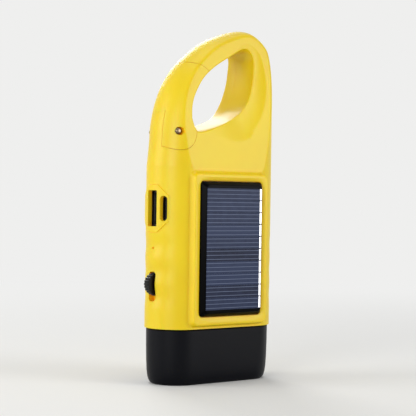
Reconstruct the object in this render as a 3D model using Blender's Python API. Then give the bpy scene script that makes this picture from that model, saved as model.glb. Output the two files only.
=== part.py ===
# Hand crank flashlight with a carabiner loop, a solar panel and two charging ports.
# It stands on its lens. X runs across the wide face, Y from the solar face to the crank, Z up.
# The body is drawn about X 0, and at the end all is set with X 0 in the middle of body and knob.

import math

import bmesh
import bpy
from mathutils import Matrix, Vector

# Body: a flattened tube with round sides, drawn out at the top into a carabiner loop
body_width = 0.0564
body_depth = 0.0247
total_height = 0.140
seam_height = 0.0218
lean_start_height = 0.083
tip_half_depth = 0.0067
wall = 0.002
parting_plane = 0.008
cover_top_height = 0.086
rest_gap = 0.0003
running_gap = 0.00005
overrun = 0.002
weld_distance = 0.000002
join_depth = 0.001
side_steps = 10
curve_steps = 2

# Outer edge of the loop, as shares of half the width and of the loop's height above the lean
loop_edge_shares = [
    (-1.0, 0.03), (-0.978, 0.13), (-0.963, 0.21), (-0.946, 0.321), (-0.882, 0.461), (-0.761, 0.602),
    (-0.55, 0.744), (-0.189, 0.886), (0.139, 0.96), (0.454, 1.0), (0.66, 0.98), (0.86, 0.904),
    (0.94, 0.81), (0.985, 0.66), (1.0, 0.5), (1.0, 0.3), (1.0, 0.15), (1.0, 0.03),
]
lean_step_shares = [0.008, 0.016]
# Finger opening of the loop at the front and the back face, in the same shares
opening_front_shares = [
    (-0.617, 0.377), (-0.599, 0.319), (-0.546, 0.267), (-0.461, 0.253), (-0.254, 0.277), (0.067, 0.332),
    (0.339, 0.405), (0.501, 0.5), (0.582, 0.618), (0.605, 0.732), (0.585, 0.811), (0.493, 0.865),
    (0.365, 0.874), (0.152, 0.821), (-0.156, 0.734), (-0.378, 0.644), (-0.528, 0.537), (-0.596, 0.456),
]
opening_back_shares = [
    (-0.615, 0.379), (-0.598, 0.321), (-0.544, 0.27), (-0.457, 0.256), (-0.241, 0.282), (0.018, 0.316),
    (0.291, 0.379), (0.436, 0.489), (0.518, 0.618), (0.539, 0.732), (0.532, 0.814), (0.461, 0.863),
    (0.34, 0.87), (0.152, 0.818), (-0.152, 0.73), (-0.372, 0.64), (-0.521, 0.535), (-0.592, 0.456),
]
opening_round = 0.0009
opening_flat_share = 0.3
opening_level_shares = [-1.3, -1.0, -0.92, -0.7, -0.3, 0.3, 0.7, 0.92, 1.0, 1.3]

# Soft finger waves down both narrow sides
wave_pitch = 0.010
wave_depth = 0.0005
wave_top_height = 0.059
wave_count = 3
wave_points = 4

# Raised frame around the solar panel, and the panel in it
frame_width = 0.0365
frame_low_height = 0.0232
frame_top_height = 0.082
frame_face_depth = 0.0146
frame_corner = 0.0015
frame_bevel_width = 0.0014
frame_bevel_depth = 0.0012
panel_width = 0.0304
panel_height = 0.0522
panel_centre_height = 0.0528
panel_corner = 0.0015
panel_face_depth = 0.0162
panel_edge_depth = 0.0144
panel_back_depth = 0.0129
panel_bevel_width = 0.0015
cell_area_width = 0.0272
cell_area_height = 0.0471
cell_count = 10
cell_thick = 0.0004
cell_groove_width = 0.0003
cell_groove_depth = 0.00015
busbar_width = 0.0009

# Spring gate of the carabiner
gate_pin_across = -0.0224
gate_pin_height = 0.0980
gate_pin_radius = 0.0013
gate_ear_radius = 0.0072
gate_seam_radius = 0.0283
gate_gap = 0.00025
gate_seam_start = 86.0
gate_seam_end = 50.0
gate_round_start = 22.0
gate_round_end = -165.0
knuckle_radius = 0.0084
knuckle_half_depth = 0.0037
gate_pin_reach = 0.0086
pin_mouth_radius = 0.0016
spring_slot_half_depth = 0.0021
spring_slot_radius = 0.0031
spring_coil_radius = 0.0024
spring_wire_radius = 0.0003
spring_turns = 3
spring_sweep = 0.0066
spring_turn_points = 10
spring_leg_length = 0.0095
spring_foot_length = 0.0057
spring_foot_room = 0.0071
spring_pitch = 0.00096
spring_leg_slot_width = 0.0016

# Black head at the lower end: bezel, lens, seal, reflector, lamp board and three lamps
head_inset = 0.0007
head_rim = [(0.0, 0.0030), (0.0007, 0.0022), (0.0020, 0.0016), (0.0045, 0.0012), (0.009, 0.0009)]
collar_height = 0.0034
collar_wall = 0.001
window_inset = 0.0046
window_depth = 0.0016
lens_edge_gap = 0.00015
lens_thick = 0.002
seal_thick = 0.0008
seal_width = 0.0011
reflector_height = 0.0105
cup_count = 3
cup_pitch = 0.0156
cup_mouth_radius = 0.0070
cup_neck_radius = 0.0030
cup_depth = 0.0090
cup_rings = 4
lamp_board_thick = 0.0016
lamp_radius = 0.0024
lamp_length = 0.0052
lamp_flange_radius = 0.0028
lamp_flange_thick = 0.0008
lamp_dome_shares = [(0.0, 0.0), (0.5, 0.14), (0.85, 0.48), (1.0, 1.0)]
lamp_screw_inset = 0.0026

# Charging ports, set in a raised pad on the left side
pad_rise = 0.00045
pad_centre_depth = -0.0005
pad_centre_height = 0.0682
pad_width = 0.0144
pad_height = 0.0184
pad_chamfer = 0.0042
wide_port_width = 0.0054
wide_port_height = 0.0139
wide_port_setback = 0.0027
wide_socket_depth = 0.0140
socket_wall = 0.0004
small_port_centre_depth = -0.0060
small_port_width = 0.0028
small_port_height = 0.0097
small_port_setback = 0.0016
small_socket_depth = 0.0070
tongue_thick = 0.0016
small_tongue_thick = 0.0008
indicator_radius = 0.0006
indicator_height = 0.0529
indicator_length = 0.0045

# Circuit board beside the battery
board_back_depth = -0.0032
board_thick = 0.0012
board_right = -0.0090
board_low_height = 0.0317
board_top_height = 0.0782
board_screw_across = -0.0170
board_screw_heights = [0.0340, 0.0766]
board_post_radius = 0.0020

# Slide switch on the left side
slot_width = 0.0046
slot_low_height = 0.0322
slot_top_height = 0.0437
slot_depth = 0.0030
slot_wall = 0.0013
slot_corner = 0.0005
knob_radius = 0.0045
knob_width = 0.0038
knob_rise = 0.0023
knob_top_gap = 0.0003
knob_rib_count = 7
knob_rib_depth = 0.0003
knob_rib_points = 4
knob_travel = 0.0020
stem_width = 0.0016
stem_height = 0.0030
stem_reach = 0.001
switch_depth = 0.0038
switch_height = 0.0096
switch_thick = 0.0052

# Battery behind the solar panel
battery_width = 0.032
battery_height = 0.043
battery_thick = 0.005
battery_low_height = 0.033
battery_corner = 0.0015
battery_centre_across = 0.0015

# Screws that hold the back cover
cover_screw_across = 0.0145
cover_screw_low_height = 0.0285
cover_screw_top_height = 0.0815
cover_post_radius = 0.0028
screw_head_radius = 0.0022
screw_head_thick = 0.0014
screw_shank_radius = 0.0011
screw_length = 0.0085
screw_head_sink = 0.0004
small_screw_head_radius = 0.0016
small_screw_head_thick = 0.0009
small_screw_shank_radius = 0.0007
small_screw_length = 0.0040

# Gear train from the crank to the generator, in three layers in front of the back cover
wheel_thick = 0.0016
layer_gap = 0.0005
cover_boss_height = 0.0013
cover_boss_radius = 0.0026
plate_thick = 0.0014
plate_margin = 0.0035
plate_rotor_margin = 0.007
plate_post_radius = 0.0030
gear_pressure_angle = 20.0
gear_backlash = 0.00012
gear_root_share = 1.25
crank_module = 0.0006
train_module = 0.0005
crank_teeth = 44
crank_gear_phase = 90.0
wheel_teeth = 36
pinion_teeth = 12
crank_height = 0.0645
first_idler_angle = -120.0
second_idler_angle = -25.0
rotor_angle = -15.0
hub_radius = 0.0020
axle_radius = 0.0010
axle_plate_seat = 0.0009
axle_cover_seat = 0.0005
gear_hole_count = 5
gear_hole_radius = 0.0026
gear_hole_place_share = 0.62
plate_posts = [(-0.0152, 0.0375), (0.019, 0.052), (0.003, 0.0818), (-0.004, 0.0325)]

# Generator: a steel can with claw poles, a ring coil and a magnet rotor
can_radius = 0.0095
can_wall = 0.0008
pole_ring_radius = 0.0060
pole_ring_wall = 0.0007
pole_count = 6
pole_slot_width = 0.0012
coil_gap = 0.0004
rotor_gap = 0.0004
rotor_end_gap = 0.0005

# Crank on the back: shaft, arm, screw and the folding grip
shaft_radius = 0.0028
shaft_nose_radius = 0.0014
shaft_square = 0.0036
bushing_radius = 0.0042
bushing_flange_radius = 0.0056
arm_gap = 0.0003
arm_thick = 0.0042
arm_hub_radius = 0.0090
arm_end_radius = 0.0076
arm_length = 0.0345
arm_edge = 0.0006
finger_notch_depth = 0.0014
grip_width = 0.0104
grip_thick = 0.0036
grip_length = 0.0168
grip_corner = 0.0031
grip_pin_inset = 0.0022
grip_pin_radius = 0.0009
grip_side_gap = 0.0002
crank_screw_head_radius = 0.0030
crank_screw_head_thick = 0.0013
crank_screw_length = 0.0042

# Worked out from the sizes above
half_width = body_width / 2
side_radius = body_depth / 2
side_axis = half_width - side_radius
loop_height = total_height - lean_start_height
lean_slope = (side_radius - tip_half_depth) / loop_height
inner_radius = side_radius - wall
cover_inner_plane = inner_radius
post_start = -inner_radius - join_depth
port_cut_end = -side_axis - inner_radius / 2
layer_a_top = cover_inner_plane - cover_boss_height - rest_gap
layer_a_low = layer_a_top - wheel_thick
layer_b_top = layer_a_low - layer_gap
layer_b_low = layer_b_top - wheel_thick
layer_c_top = layer_b_low - layer_gap
layer_c_low = layer_c_top - wheel_thick
plate_back = layer_c_low - layer_gap
plate_front = plate_back - plate_thick
battery_front = -inner_radius + rest_gap
battery_back = battery_front + battery_thick
can_back = plate_front - rest_gap
can_front = battery_back + rest_gap
slot_floor = -half_width + slot_depth
knob_centre_height = slot_top_height - knob_top_gap - knob_radius
board_left = slot_floor + slot_wall + rest_gap
board_front_depth = board_back_depth - board_thick
bore_inset = wall + rest_gap + collar_wall
lens_low = window_depth + rest_gap
lens_radius = side_radius - bore_inset - lens_edge_gap
seal_low = lens_low + lens_thick + rest_gap
reflector_low = seal_low + seal_thick + rest_gap
lamp_board_low = reflector_low + reflector_height + rest_gap
arm_front = side_radius + arm_gap
arm_back = arm_front + arm_thick
arm_end = (0.0, crank_height - arm_length)
crank_screw_seat = arm_back - crank_screw_head_thick - rest_gap
shaft_end = crank_screw_seat - rest_gap
grip_pin_height = arm_end[1] - grip_pin_inset
grip_middle = arm_front + rest_gap + grip_thick / 2
grip_top_height = grip_pin_height - grip_thick / 2 + grip_length


def polar(centre, radius, degrees):
    angle = math.radians(degrees)
    return (centre[0] + radius * math.cos(angle), centre[1] + radius * math.sin(angle))


crank_axis = (0.0, crank_height)
first_idler_axis = polar(
    crank_axis, crank_module * (crank_teeth + pinion_teeth) / 2, first_idler_angle
)
train_distance = train_module * (wheel_teeth + pinion_teeth) / 2
second_idler_axis = polar(first_idler_axis, train_distance, second_idler_angle)
rotor_axis = polar(second_idler_axis, train_distance, rotor_angle)
gate_axis = (gate_pin_across, gate_pin_height)


# Materials

def finish(name, colour, roughness, metallic=0.0, alpha=1.0):
    material = bpy.data.materials.new(name)
    material.use_nodes = True
    shader = material.node_tree.nodes["Principled BSDF"]
    shader.inputs["Base Color"].default_value = (*colour, 1.0)
    shader.inputs["Roughness"].default_value = roughness
    shader.inputs["Metallic"].default_value = metallic
    shader.inputs["Alpha"].default_value = alpha
    return material


# Solids

def place(across, along, level, axis):
    """A point from its two outline coordinates and its place along the axis."""
    if axis == "X":
        return Vector((level, across, along))
    if axis == "Y":
        return Vector((across, level, along))
    return Vector((across, along, level))


def new_piece(name, shape, material=None, origin=(0.0, 0.0, 0.0)):
    """An object whose mesh is given in world places, with its own origin at the joint's axis."""
    bmesh.ops.recalc_face_normals(shape, faces=shape.faces)
    bmesh.ops.translate(shape, verts=shape.verts, vec=-Vector(origin))
    mesh = bpy.data.meshes.new(name)
    shape.to_mesh(mesh)
    shape.free()
    mesh.shade_smooth()
    mesh.set_sharp_from_angle(angle=math.radians(30))
    piece = bpy.data.objects.new(name, mesh)
    piece.location = origin
    if material:
        mesh.materials.append(material)
    bpy.context.collection.objects.link(piece)
    return piece


def loft(name, rings, material=None, origin=(0.0, 0.0, 0.0), fold=None):
    """Rings of points with like counts, joined one to the next and closed at both ends.
    Where the ends are folded, fold gives the two points of the ring that the fold joins."""
    shape = bmesh.new()
    loops = [[shape.verts.new(point) for point in ring] for ring in rings]
    count = len(rings[0])
    for lower, upper in zip(loops, loops[1:]):
        for i in range(count):
            j = (i + 1) % count
            shape.faces.new((lower[i], lower[j], upper[j], upper[i]))
    for end in (loops[0], loops[-1]):
        if fold:
            first, last = fold
            shape.faces.new(end[first : last + 1])
            shape.faces.new(end[last:] + end[: first + 1])
        else:
            shape.faces.new(end)
    return new_piece(name, shape, material, origin)


def prism(name, outline, low, high, axis, material=None, origin=(0.0, 0.0, 0.0)):
    rings = [[place(a, b, level, axis) for a, b in outline] for level in (low, high)]
    return loft(name, rings, material, origin)


def turned(name, profile, centre, axis, sides, material=None, origin=(0.0, 0.0, 0.0), turn=0.0):
    """A profile of (radius, level) points turned about an axis; radius 0 closes an end."""
    shape = bmesh.new()
    rings = []
    for radius, level in profile:
        if radius == 0:
            rings.append([shape.verts.new(place(*centre, level, axis))])
            continue
        ring = []
        for i in range(sides):
            across, along = polar(centre, radius, turn + 360 * i / sides)
            ring.append(shape.verts.new(place(across, along, level, axis)))
        rings.append(ring)
    closed = profile[0][0] > 0 and profile[-1][0] > 0
    pairs = list(zip(rings, rings[1:]))
    if closed:
        pairs.append((rings[-1], rings[0]))
    for lower, upper in pairs:
        for i in range(sides):
            j = (i + 1) % sides
            corners = [lower[i % len(lower)], lower[j % len(lower)]]
            corners += [upper[j % len(upper)], upper[i % len(upper)]]
            shape.faces.new(list(dict.fromkeys(corners)))
    return new_piece(name, shape, material, origin)


def set_origin(piece, origin):
    """Moves a piece's own origin to a joint's axis, with the piece where it was."""
    piece.data.transform(Matrix.Translation(Vector(piece.location) - Vector(origin)))
    piece.location = origin


def combine(piece, other, how):
    """Cuts, joins or keeps one solid by another, which is used up."""
    step = piece.modifiers.new(how, "BOOLEAN")
    step.operation = how
    step.object = other
    step.solver = "EXACT"
    graph = bpy.context.evaluated_depsgraph_get()
    made = bpy.data.meshes.new_from_object(piece.evaluated_get(graph))
    piece.modifiers.clear()
    before = piece.data
    piece.data = made
    bpy.data.meshes.remove(before)
    bpy.data.objects.remove(other)
    shape = bmesh.new()
    shape.from_mesh(made)
    bmesh.ops.remove_doubles(shape, verts=shape.verts, dist=weld_distance)
    bmesh.ops.dissolve_degenerate(shape, edges=shape.edges, dist=weld_distance)
    shape.to_mesh(made)
    shape.free()


def cut(piece, *tools):
    for tool in tools:
        combine(piece, tool, "DIFFERENCE")


def join(piece, *others):
    for other in others:
        combine(piece, other, "UNION")


def keep(piece, *others):
    for other in others:
        combine(piece, other, "INTERSECT")


def sharpen(piece):
    """Sets the shading again after cuts."""
    piece.data.shade_smooth()
    piece.data.set_sharp_from_angle(angle=math.radians(30))


# Outlines

def circle(centre, radius, sides, turn=0.0):
    return [polar(centre, radius, turn + 360 * i / sides) for i in range(sides)]


def hole_radius(radius, clearance, sides):
    """A many-sided hole whose flats clear a round of this radius."""
    return (radius + clearance) / math.cos(math.pi / sides)


def bore(name, centre, radius, clearance, low, high, axis, sides):
    return prism(
        name, circle(centre, hole_radius(radius, clearance, sides), sides), low, high, axis
    )


def arc(centre, radius, start, end, steps):
    return [polar(centre, radius, start + (end - start) * i / steps) for i in range(steps + 1)]


def rounded_rectangle(left, right, low, high, radius, steps=3):
    corners = [
        ((right - radius, high - radius), 0),
        ((left + radius, high - radius), 90),
        ((left + radius, low + radius), 180),
        ((right - radius, low + radius), 270),
    ]
    outline = []
    for centre, start in corners:
        outline += arc(centre, radius, start, start + 90, steps)
    return outline


def rectangle(left, right, low, high):
    return [(left, low), (right, low), (right, high), (left, high)]


def stadium(axis_offset, radius, steps):
    """The body's cross section: two half rounds joined by flats."""
    return arc((axis_offset, 0), radius, -90, 90, steps) + arc(
        (-axis_offset, 0), radius, 90, 270, steps
    )


def smooth(points, closed, steps):
    """A curve through the points, with even speed on either side of each."""
    count = len(points)
    spans = count if closed else count - 1
    curve = []
    for i in range(spans):
        if closed:
            four = [points[(i + k) % count] for k in (-1, 0, 1, 2)]
        else:
            four = [points[min(max(i + k, 0), count - 1)] for k in (-1, 0, 1, 2)]
        a, b, c, d = (Vector(point) for point in four)
        for k in range(steps):
            t = k / steps
            bend = (2 * a - 5 * b + 4 * c - d) * t**2 + (3 * b - a - 3 * c + d) * t**3
            curve.append(tuple((2 * b + (c - a) * t + bend) / 2))
    if not closed:
        curve.append(tuple(points[-1]))
    return curve


def outward_normals(path, closed):
    """Unit normals on the left of a path that runs clockwise round its inside."""
    count = len(path)
    normals = []
    for i in range(count):
        if closed:
            before, after = path[i - 1], path[(i + 1) % count]
        else:
            before, after = path[max(i - 1, 0)], path[min(i + 1, count - 1)]
        along = (Vector(after) - Vector(before)).normalized()
        normals.append(Vector((-along.y, along.x)))
    return normals


def hull(points):
    """The tight outline round a set of points."""
    ordered = sorted(set(points))

    def chain(run):
        kept = []
        for point in run:
            while len(kept) > 1:
                a, b = kept[-2], kept[-1]
                if (b[0] - a[0]) * (point[1] - a[1]) > (b[1] - a[1]) * (point[0] - a[0]):
                    break
                kept.pop()
            kept.append(point)
        return kept[:-1]

    return chain(ordered) + chain(ordered[::-1])


def half_depth(height):
    """How far the wide faces stand from the middle: level below, leaning in along the loop."""
    return side_radius - max(0.0, height - lean_start_height) * lean_slope


def loop_points(shares, steps, closed):
    points = [(x * half_width, lean_start_height + z * loop_height) for x, z in shares]
    return smooth(points, closed, steps)


def wave(height):
    """Depth of the finger waves at a height."""
    below = wave_top_height - height
    if below < 0 or below > wave_count * wave_pitch:
        return 0.0
    return wave_depth * (1 - math.cos(2 * math.pi * below / wave_pitch)) / 2


def body_edge():
    """The body's outline from its lower left corner over the loop to its lower right corner."""
    wave_heights = [
        wave_top_height - wave_pitch * i / wave_points for i in range(wave_count * wave_points + 1)
    ]
    side_heights = sorted(wave_heights + [seam_height, lean_start_height])
    side_heights += [lean_start_height + share * loop_height for share in lean_step_shares]
    left = [(-half_width, height) for height in side_heights]
    right = [(half_width, height) for height in side_heights[::-1]]
    return left + loop_points(loop_edge_shares, curve_steps, False) + right


def body_solid(name, material, rise=0.0, waves=True):
    """The whole outer shape of body and loop, before anything is cut."""
    path = body_edge()
    normals = outward_normals(path, False)
    rings = []
    for step in range(side_steps + 1):
        share = math.sin(math.pi * (step / side_steps - 0.5))
        ring = []
        for (across, height), normal in zip(path, normals):
            across, height = across + normal.x * rise, height + normal.y * rise
            at = height
            for _ in range(3):
                depth = share * half_depth(at)
                inset = side_radius - math.sqrt(max(side_radius**2 - depth**2, 0.0))
                if waves:
                    inset += wave(height) * (1 - (depth / side_radius) ** 2) ** 2
                at = height - normal.y * inset
            ring.append((across - normal.x * inset, depth, at))
        rings.append(ring)
    fold = [i for i, point in enumerate(path) if point[1] == lean_start_height]
    return loft(name, rings, material, fold=fold)


def opening_cutter():
    """The finger opening, drawn from its front outline to its back one, with rounded edges."""
    front = loop_points(opening_front_shares, curve_steps, True)[::-1]
    back = loop_points(opening_back_shares, curve_steps, True)[::-1]
    front_normals, back_normals = outward_normals(front, True), outward_normals(back, True)
    rings = []
    for share in opening_level_shares:
        out = min(max((abs(share) - opening_flat_share) / (1 - opening_flat_share), 0.0), 1.0)
        inset = opening_round * math.sqrt(1 - out**2)
        blend = min(max((share + 1) / 2, 0.0), 1.0)
        ring = []
        for i in range(len(front)):
            edge = Vector(front[i]).lerp(Vector(back[i]), blend)
            edge -= front_normals[i].lerp(back_normals[i], blend) * inset
            ring.append((edge.x, share * half_depth(edge.y), edge.y))
        rings.append(ring)
    return loft("opening cutter", rings)


def block(name, x_low, x_high, y_low, y_high, z_low, z_high, material=None, origin=(0, 0, 0)):
    outline = rectangle(x_low, x_high, y_low, y_high)
    return prism(name, outline, z_low, z_high, "Z", material, origin)


def screw(name, centre, seat, axis, way, head, shank, length, sides, material):
    """A pan head screw: way is +1 where its head points up the axis. Head and shank are
    given as (radius, thickness) and radius."""
    radius, thick = head
    profile = [
        (0, seat + way * thick),
        (radius, seat + way * thick),
        (radius, seat),
        (shank, seat),
        (shank, seat - way * length),
        (0, seat - way * length),
    ]
    return turned(name, profile, centre, axis, sides, material)


def gear_outline(centre, module, teeth, phase):
    """Involute teeth: two points up each flank of a wheel, and three and a root on a pinion."""
    pitch = module * teeth / 2
    pressure = math.radians(gear_pressure_angle)
    base = pitch * math.cos(pressure)
    tip = pitch + module
    root = pitch - gear_root_share * module

    def involute(angle):
        return math.tan(angle) - angle

    half_tooth = math.pi / (2 * teeth) - gear_backlash / (2 * pitch)
    flank = []
    start = max(base, root)
    is_pinion = teeth == pinion_teeth
    for share in (0.0, 0.5, 1.0) if is_pinion else (0.0, 1.0):
        radius = start + (tip - start) * share
        angle = half_tooth + involute(pressure) - involute(math.acos(min(base / radius, 1.0)))
        flank.append((radius, angle))
    outline = []
    for tooth in range(teeth):
        middle = math.radians(phase) + 2 * math.pi * tooth / teeth
        rise = [(radius, -angle) for radius, angle in flank]
        fall = [(radius, angle) for radius, angle in flank[::-1]]
        if is_pinion:
            rise, fall = [(root, rise[0][1])] + rise, fall + [(root, fall[-1][1])]
        for radius, angle in rise + fall:
            outline.append(polar(centre, radius, math.degrees(middle + angle)))
    return outline


def meshing_phase(centre, teeth, phase, other_centre, other_teeth):
    """The turn that sets a second gear's gap on the first gear's tooth."""
    line = math.degrees(
        math.atan2(other_centre[1] - centre[1], other_centre[0] - centre[0])
    )
    place_in_tooth = (line - phase) * teeth / 360
    return line + 180 - (0.5 - place_in_tooth) * 360 / other_teeth


# Pieces of the housing

def cavity(name):
    return prism(
        name, stadium(side_axis, inner_radius, side_steps), seam_height - overrun,
        cover_top_height, "Z",
    )


def panel_outline(out):
    return rounded_rectangle(
        -panel_width / 2 - out, panel_width / 2 + out,
        panel_centre_height - panel_height / 2 - out, panel_centre_height + panel_height / 2 + out,
        panel_corner + max(out, 0.0),
    )


def gate_region(name, gap):
    """Everything above the hinge's round end and below the seam, to the outside and inside."""
    seam = arc(gate_axis, gate_seam_radius + gap, gate_seam_start, gate_seam_end, 10)
    round_end = arc(gate_axis, gate_ear_radius + gap, gate_round_start, gate_round_end, 16)
    outside = -half_width - overrun
    outline = seam + round_end
    outline += [(outside, round_end[-1][1]), (outside, seam[0][1])]
    return prism(name, outline, -side_radius - overrun, side_radius + overrun, "Y")


def knuckle(name, gap):
    """The round lug of the body between the gate's two ears."""
    reach = knuckle_half_depth + gap
    return prism(name, circle(gate_axis, knuckle_radius + gap, 24), -reach, reach, "Y")


def spring_room():
    """Room for the coil inside the knuckle, open at the top where its upper leg swings."""
    room = prism(
        "spring room", circle(gate_axis, spring_slot_radius, 16),
        -spring_slot_half_depth, spring_slot_half_depth, "Y",
    )
    x, z = gate_axis
    top = block(
        "spring slot", x, x + spring_sweep, -spring_slot_half_depth,
        spring_slot_half_depth, z, z + knuckle_radius + overrun,
    )
    join(room, top)
    leg = x + spring_coil_radius
    half = spring_leg_slot_width / 2
    foot = block(
        "spring foot", leg - half, leg + half, -spring_slot_half_depth, spring_slot_half_depth,
        z - spring_foot_room, z,
    )
    join(room, foot)
    return room


def port_outline(centre_depth, width, height, out=0.0):
    """A slot with round ends, in (depth, height)."""
    radius = width / 2 + out
    middle = pad_centre_height
    reach = height / 2 - width / 2
    return arc((centre_depth, middle + reach), radius, 0, 180, 8) + arc(
        (centre_depth, middle - reach), radius, 180, 360, 8
    )


def port_pad():
    low = pad_centre_depth - pad_width / 2
    high = pad_centre_depth + pad_width / 2
    bottom = pad_centre_height - pad_height / 2
    top = pad_centre_height + pad_height / 2
    pad = prism(
        "pad", stadium(side_axis, side_radius + pad_rise, 2 * side_steps), bottom, top, "Z"
    )
    eight = [
        (low + pad_chamfer, bottom), (high - pad_chamfer, bottom), (high, bottom + pad_chamfer),
        (high, top - pad_chamfer), (high - pad_chamfer, top), (low + pad_chamfer, top),
        (low, top - pad_chamfer), (low, bottom + pad_chamfer),
    ]
    keep(pad, prism("octagon", eight, -half_width - overrun, -side_axis, "X"))
    return pad


def stem_block(name, gap, travel, x_low, x_high):
    half = stem_width / 2 + gap
    reach = stem_height / 2 + gap
    return block(
        name, x_low, x_high, -half, half,
        knob_centre_height - reach - travel, knob_centre_height + reach,
    )


def switch_pocket_boss():
    """Thicker wall behind the switch slot."""
    half = slot_width / 2 + slot_wall
    return block(
        "switch boss", -half_width + join_depth, slot_floor + slot_wall, -half, half,
        slot_low_height - slot_wall, slot_top_height + slot_wall,
    )


def cover_screw_places():
    return [
        (side * cover_screw_across, height)
        for height in (cover_screw_low_height, cover_screw_top_height)
        for side in (-1, 1)
    ]


def make_main_housing(material):
    housing = body_solid("main_housing", material)
    frame = rounded_rectangle(
        -frame_width / 2, frame_width / 2, frame_low_height, frame_top_height, frame_corner
    )
    join(housing, prism("frame", frame, -frame_face_depth, post_start, "Y"))
    join(housing, port_pad())
    cut(housing, opening_cutter())
    cut(housing, cavity("cavity"))
    behind = block(
        "cover room", -half_width - overrun, half_width + overrun, parting_plane,
        side_radius + overrun, seam_height - overrun, cover_top_height,
    )
    cut(housing, behind)

    pocket_floor = -panel_back_depth + rest_gap
    cut(housing, prism(
        "panel pocket", panel_outline(rest_gap), -frame_face_depth - overrun, pocket_floor, "Y"
    ))
    inner, outer = panel_outline(rest_gap), panel_outline(rest_gap + frame_bevel_width)
    bevel = [
        [place(a, b, -frame_face_depth + frame_bevel_depth, "Y") for a, b in inner],
        [place(a, b, -frame_face_depth, "Y") for a, b in outer],
        [place(a, b, -frame_face_depth - overrun, "Y") for a, b in outer],
    ]
    cut(housing, loft("rim bevel", bevel))

    for centre in cover_screw_places():
        post = circle(centre, cover_post_radius, 12)
        join(housing, prism("post", post, post_start, parting_plane, "Y"))
        cut(housing, bore(
            "post hole", centre, screw_shank_radius, running_gap,
            parting_plane + screw_head_thick - screw_length, parting_plane + overrun, "Y", 10,
        ))
    for height in board_screw_heights:
        centre = (board_screw_across, height)
        top = board_front_depth - rest_gap
        post = circle(centre, board_post_radius, 10)
        join(housing, prism("board post", post, post_start, top, "Y"))
        cut(housing, bore(
            "board hole", centre, small_screw_shank_radius, running_gap,
            top - small_screw_length, top + overrun, "Y", 8,
        ))

    join(housing, switch_pocket_boss())
    slot = rounded_rectangle(
        -slot_width / 2, slot_width / 2, slot_low_height, slot_top_height, slot_corner
    )
    cut(housing, prism("switch slot", slot, -half_width - overrun, slot_floor, "X"))
    cut(housing, stem_block(
        "stem slit", rest_gap, knob_travel, slot_floor - overrun, slot_floor + slot_wall + overrun
    ))

    outside = -half_width - pad_rise - overrun
    wide = rectangle(
        pad_centre_depth - wide_port_width / 2, pad_centre_depth + wide_port_width / 2,
        pad_centre_height - wide_port_height / 2, pad_centre_height + wide_port_height / 2,
    )
    cut(housing, prism("wide port", wide, outside, port_cut_end, "X"))
    small = port_outline(small_port_centre_depth, small_port_width, small_port_height)
    cut(housing, prism("small port", small, outside, -side_axis, "X"))
    light = circle((pad_centre_depth, indicator_height), indicator_radius + running_gap, 8)
    cut(housing, prism("indicator hole", light, outside, port_cut_end, "X"))

    cut(housing, bore(
        "pin hole", gate_axis, gate_pin_radius, running_gap, -side_radius - overrun,
        side_radius + overrun, "Y", 12,
    ))
    cut(housing, spring_room())
    gate_room = gate_region("gate room", gate_gap)
    cut(gate_room, knuckle("knuckle", 0.0))
    cut(housing, gate_room)
    sharpen(housing)
    return housing


def make_gate(material):
    gate = body_solid("gate", material, waves=False)
    cut(gate, opening_cutter())
    keep(gate, gate_region("gate region", 0.0))
    cut(gate, knuckle("knuckle room", gate_gap))
    cut(gate, bore(
        "ear hole", gate_axis, gate_pin_radius, running_gap, -side_radius, side_radius, "Y", 12
    ))
    for side in (-1, 1):
        ends = sorted((side * gate_pin_reach, side * (side_radius + overrun)))
        cut(gate, prism("mouth", circle(gate_axis, pin_mouth_radius, 16), *ends, "Y"))
    x, z = gate_axis
    leg = x + spring_coil_radius
    half = spring_leg_slot_width / 2
    cut(gate, block(
        "leg slot", leg - half, leg + half, -spring_slot_half_depth, spring_slot_half_depth,
        z, z + spring_leg_length + rest_gap,
    ))
    sharpen(gate)
    set_origin(gate, (x, 0.0, z))
    return gate


def make_back_cover(material):
    cover = body_solid("back_cover", material)
    plane = parting_plane + rest_gap
    behind = block(
        "cover room", -half_width - overrun, half_width + overrun, plane,
        side_radius + overrun, seam_height, cover_top_height - rest_gap,
    )
    keep(cover, behind)
    cut(cover, cavity("cavity"))
    root = cover_inner_plane + join_depth
    for centre in cover_screw_places():
        post = circle(centre, cover_post_radius, 12)
        join(cover, prism("post", post, plane, root, "Y"))
        cut(cover, bore(
            "screw hole", centre, screw_shank_radius, rest_gap, plane - overrun,
            side_radius + overrun, "Y", 10,
        ))
        seat = side_radius - screw_head_thick - screw_head_sink
        cut(cover, bore(
            "screw seat", centre, screw_head_radius, rest_gap, seat, side_radius + overrun, "Y", 12
        ))
    for centre in plate_posts:
        foot = plate_back + rest_gap
        post = circle(centre, plate_post_radius, 10)
        join(cover, prism("plate post", post, foot, root, "Y"))
        cut(cover, bore(
            "plate hole", centre, small_screw_shank_radius, running_gap, foot - overrun,
            foot + small_screw_length, "Y", 8,
        ))
    boss_end = cover_inner_plane - cover_boss_height
    for centre in (first_idler_axis, second_idler_axis):
        boss = circle(centre, cover_boss_radius, 12)
        join(cover, prism("axle boss", boss, boss_end, root, "Y"))
        cut(cover, bore(
            "axle hole", centre, axle_radius, running_gap, boss_end - overrun,
            cover_inner_plane + axle_cover_seat, "Y", 10,
        ))
    cut(cover, bore(
        "bushing hole", crank_axis, bushing_radius, running_gap, 0.0, side_radius + overrun, "Y", 20
    ))
    sharpen(cover)
    return cover


def make_cover_screws(material):
    seat = side_radius - screw_head_thick - screw_head_sink + rest_gap
    for number, centre in enumerate(cover_screw_places(), 1):
        screw(
            f"housing_screw_{number}", centre, seat, "Y", 1, (screw_head_radius, screw_head_thick),
            screw_shank_radius, screw_length, 12, material,
        )


# Head

def section(inset, height):
    return [(x, y, height) for x, y in stadium(side_axis, side_radius - inset, side_steps)]


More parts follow.
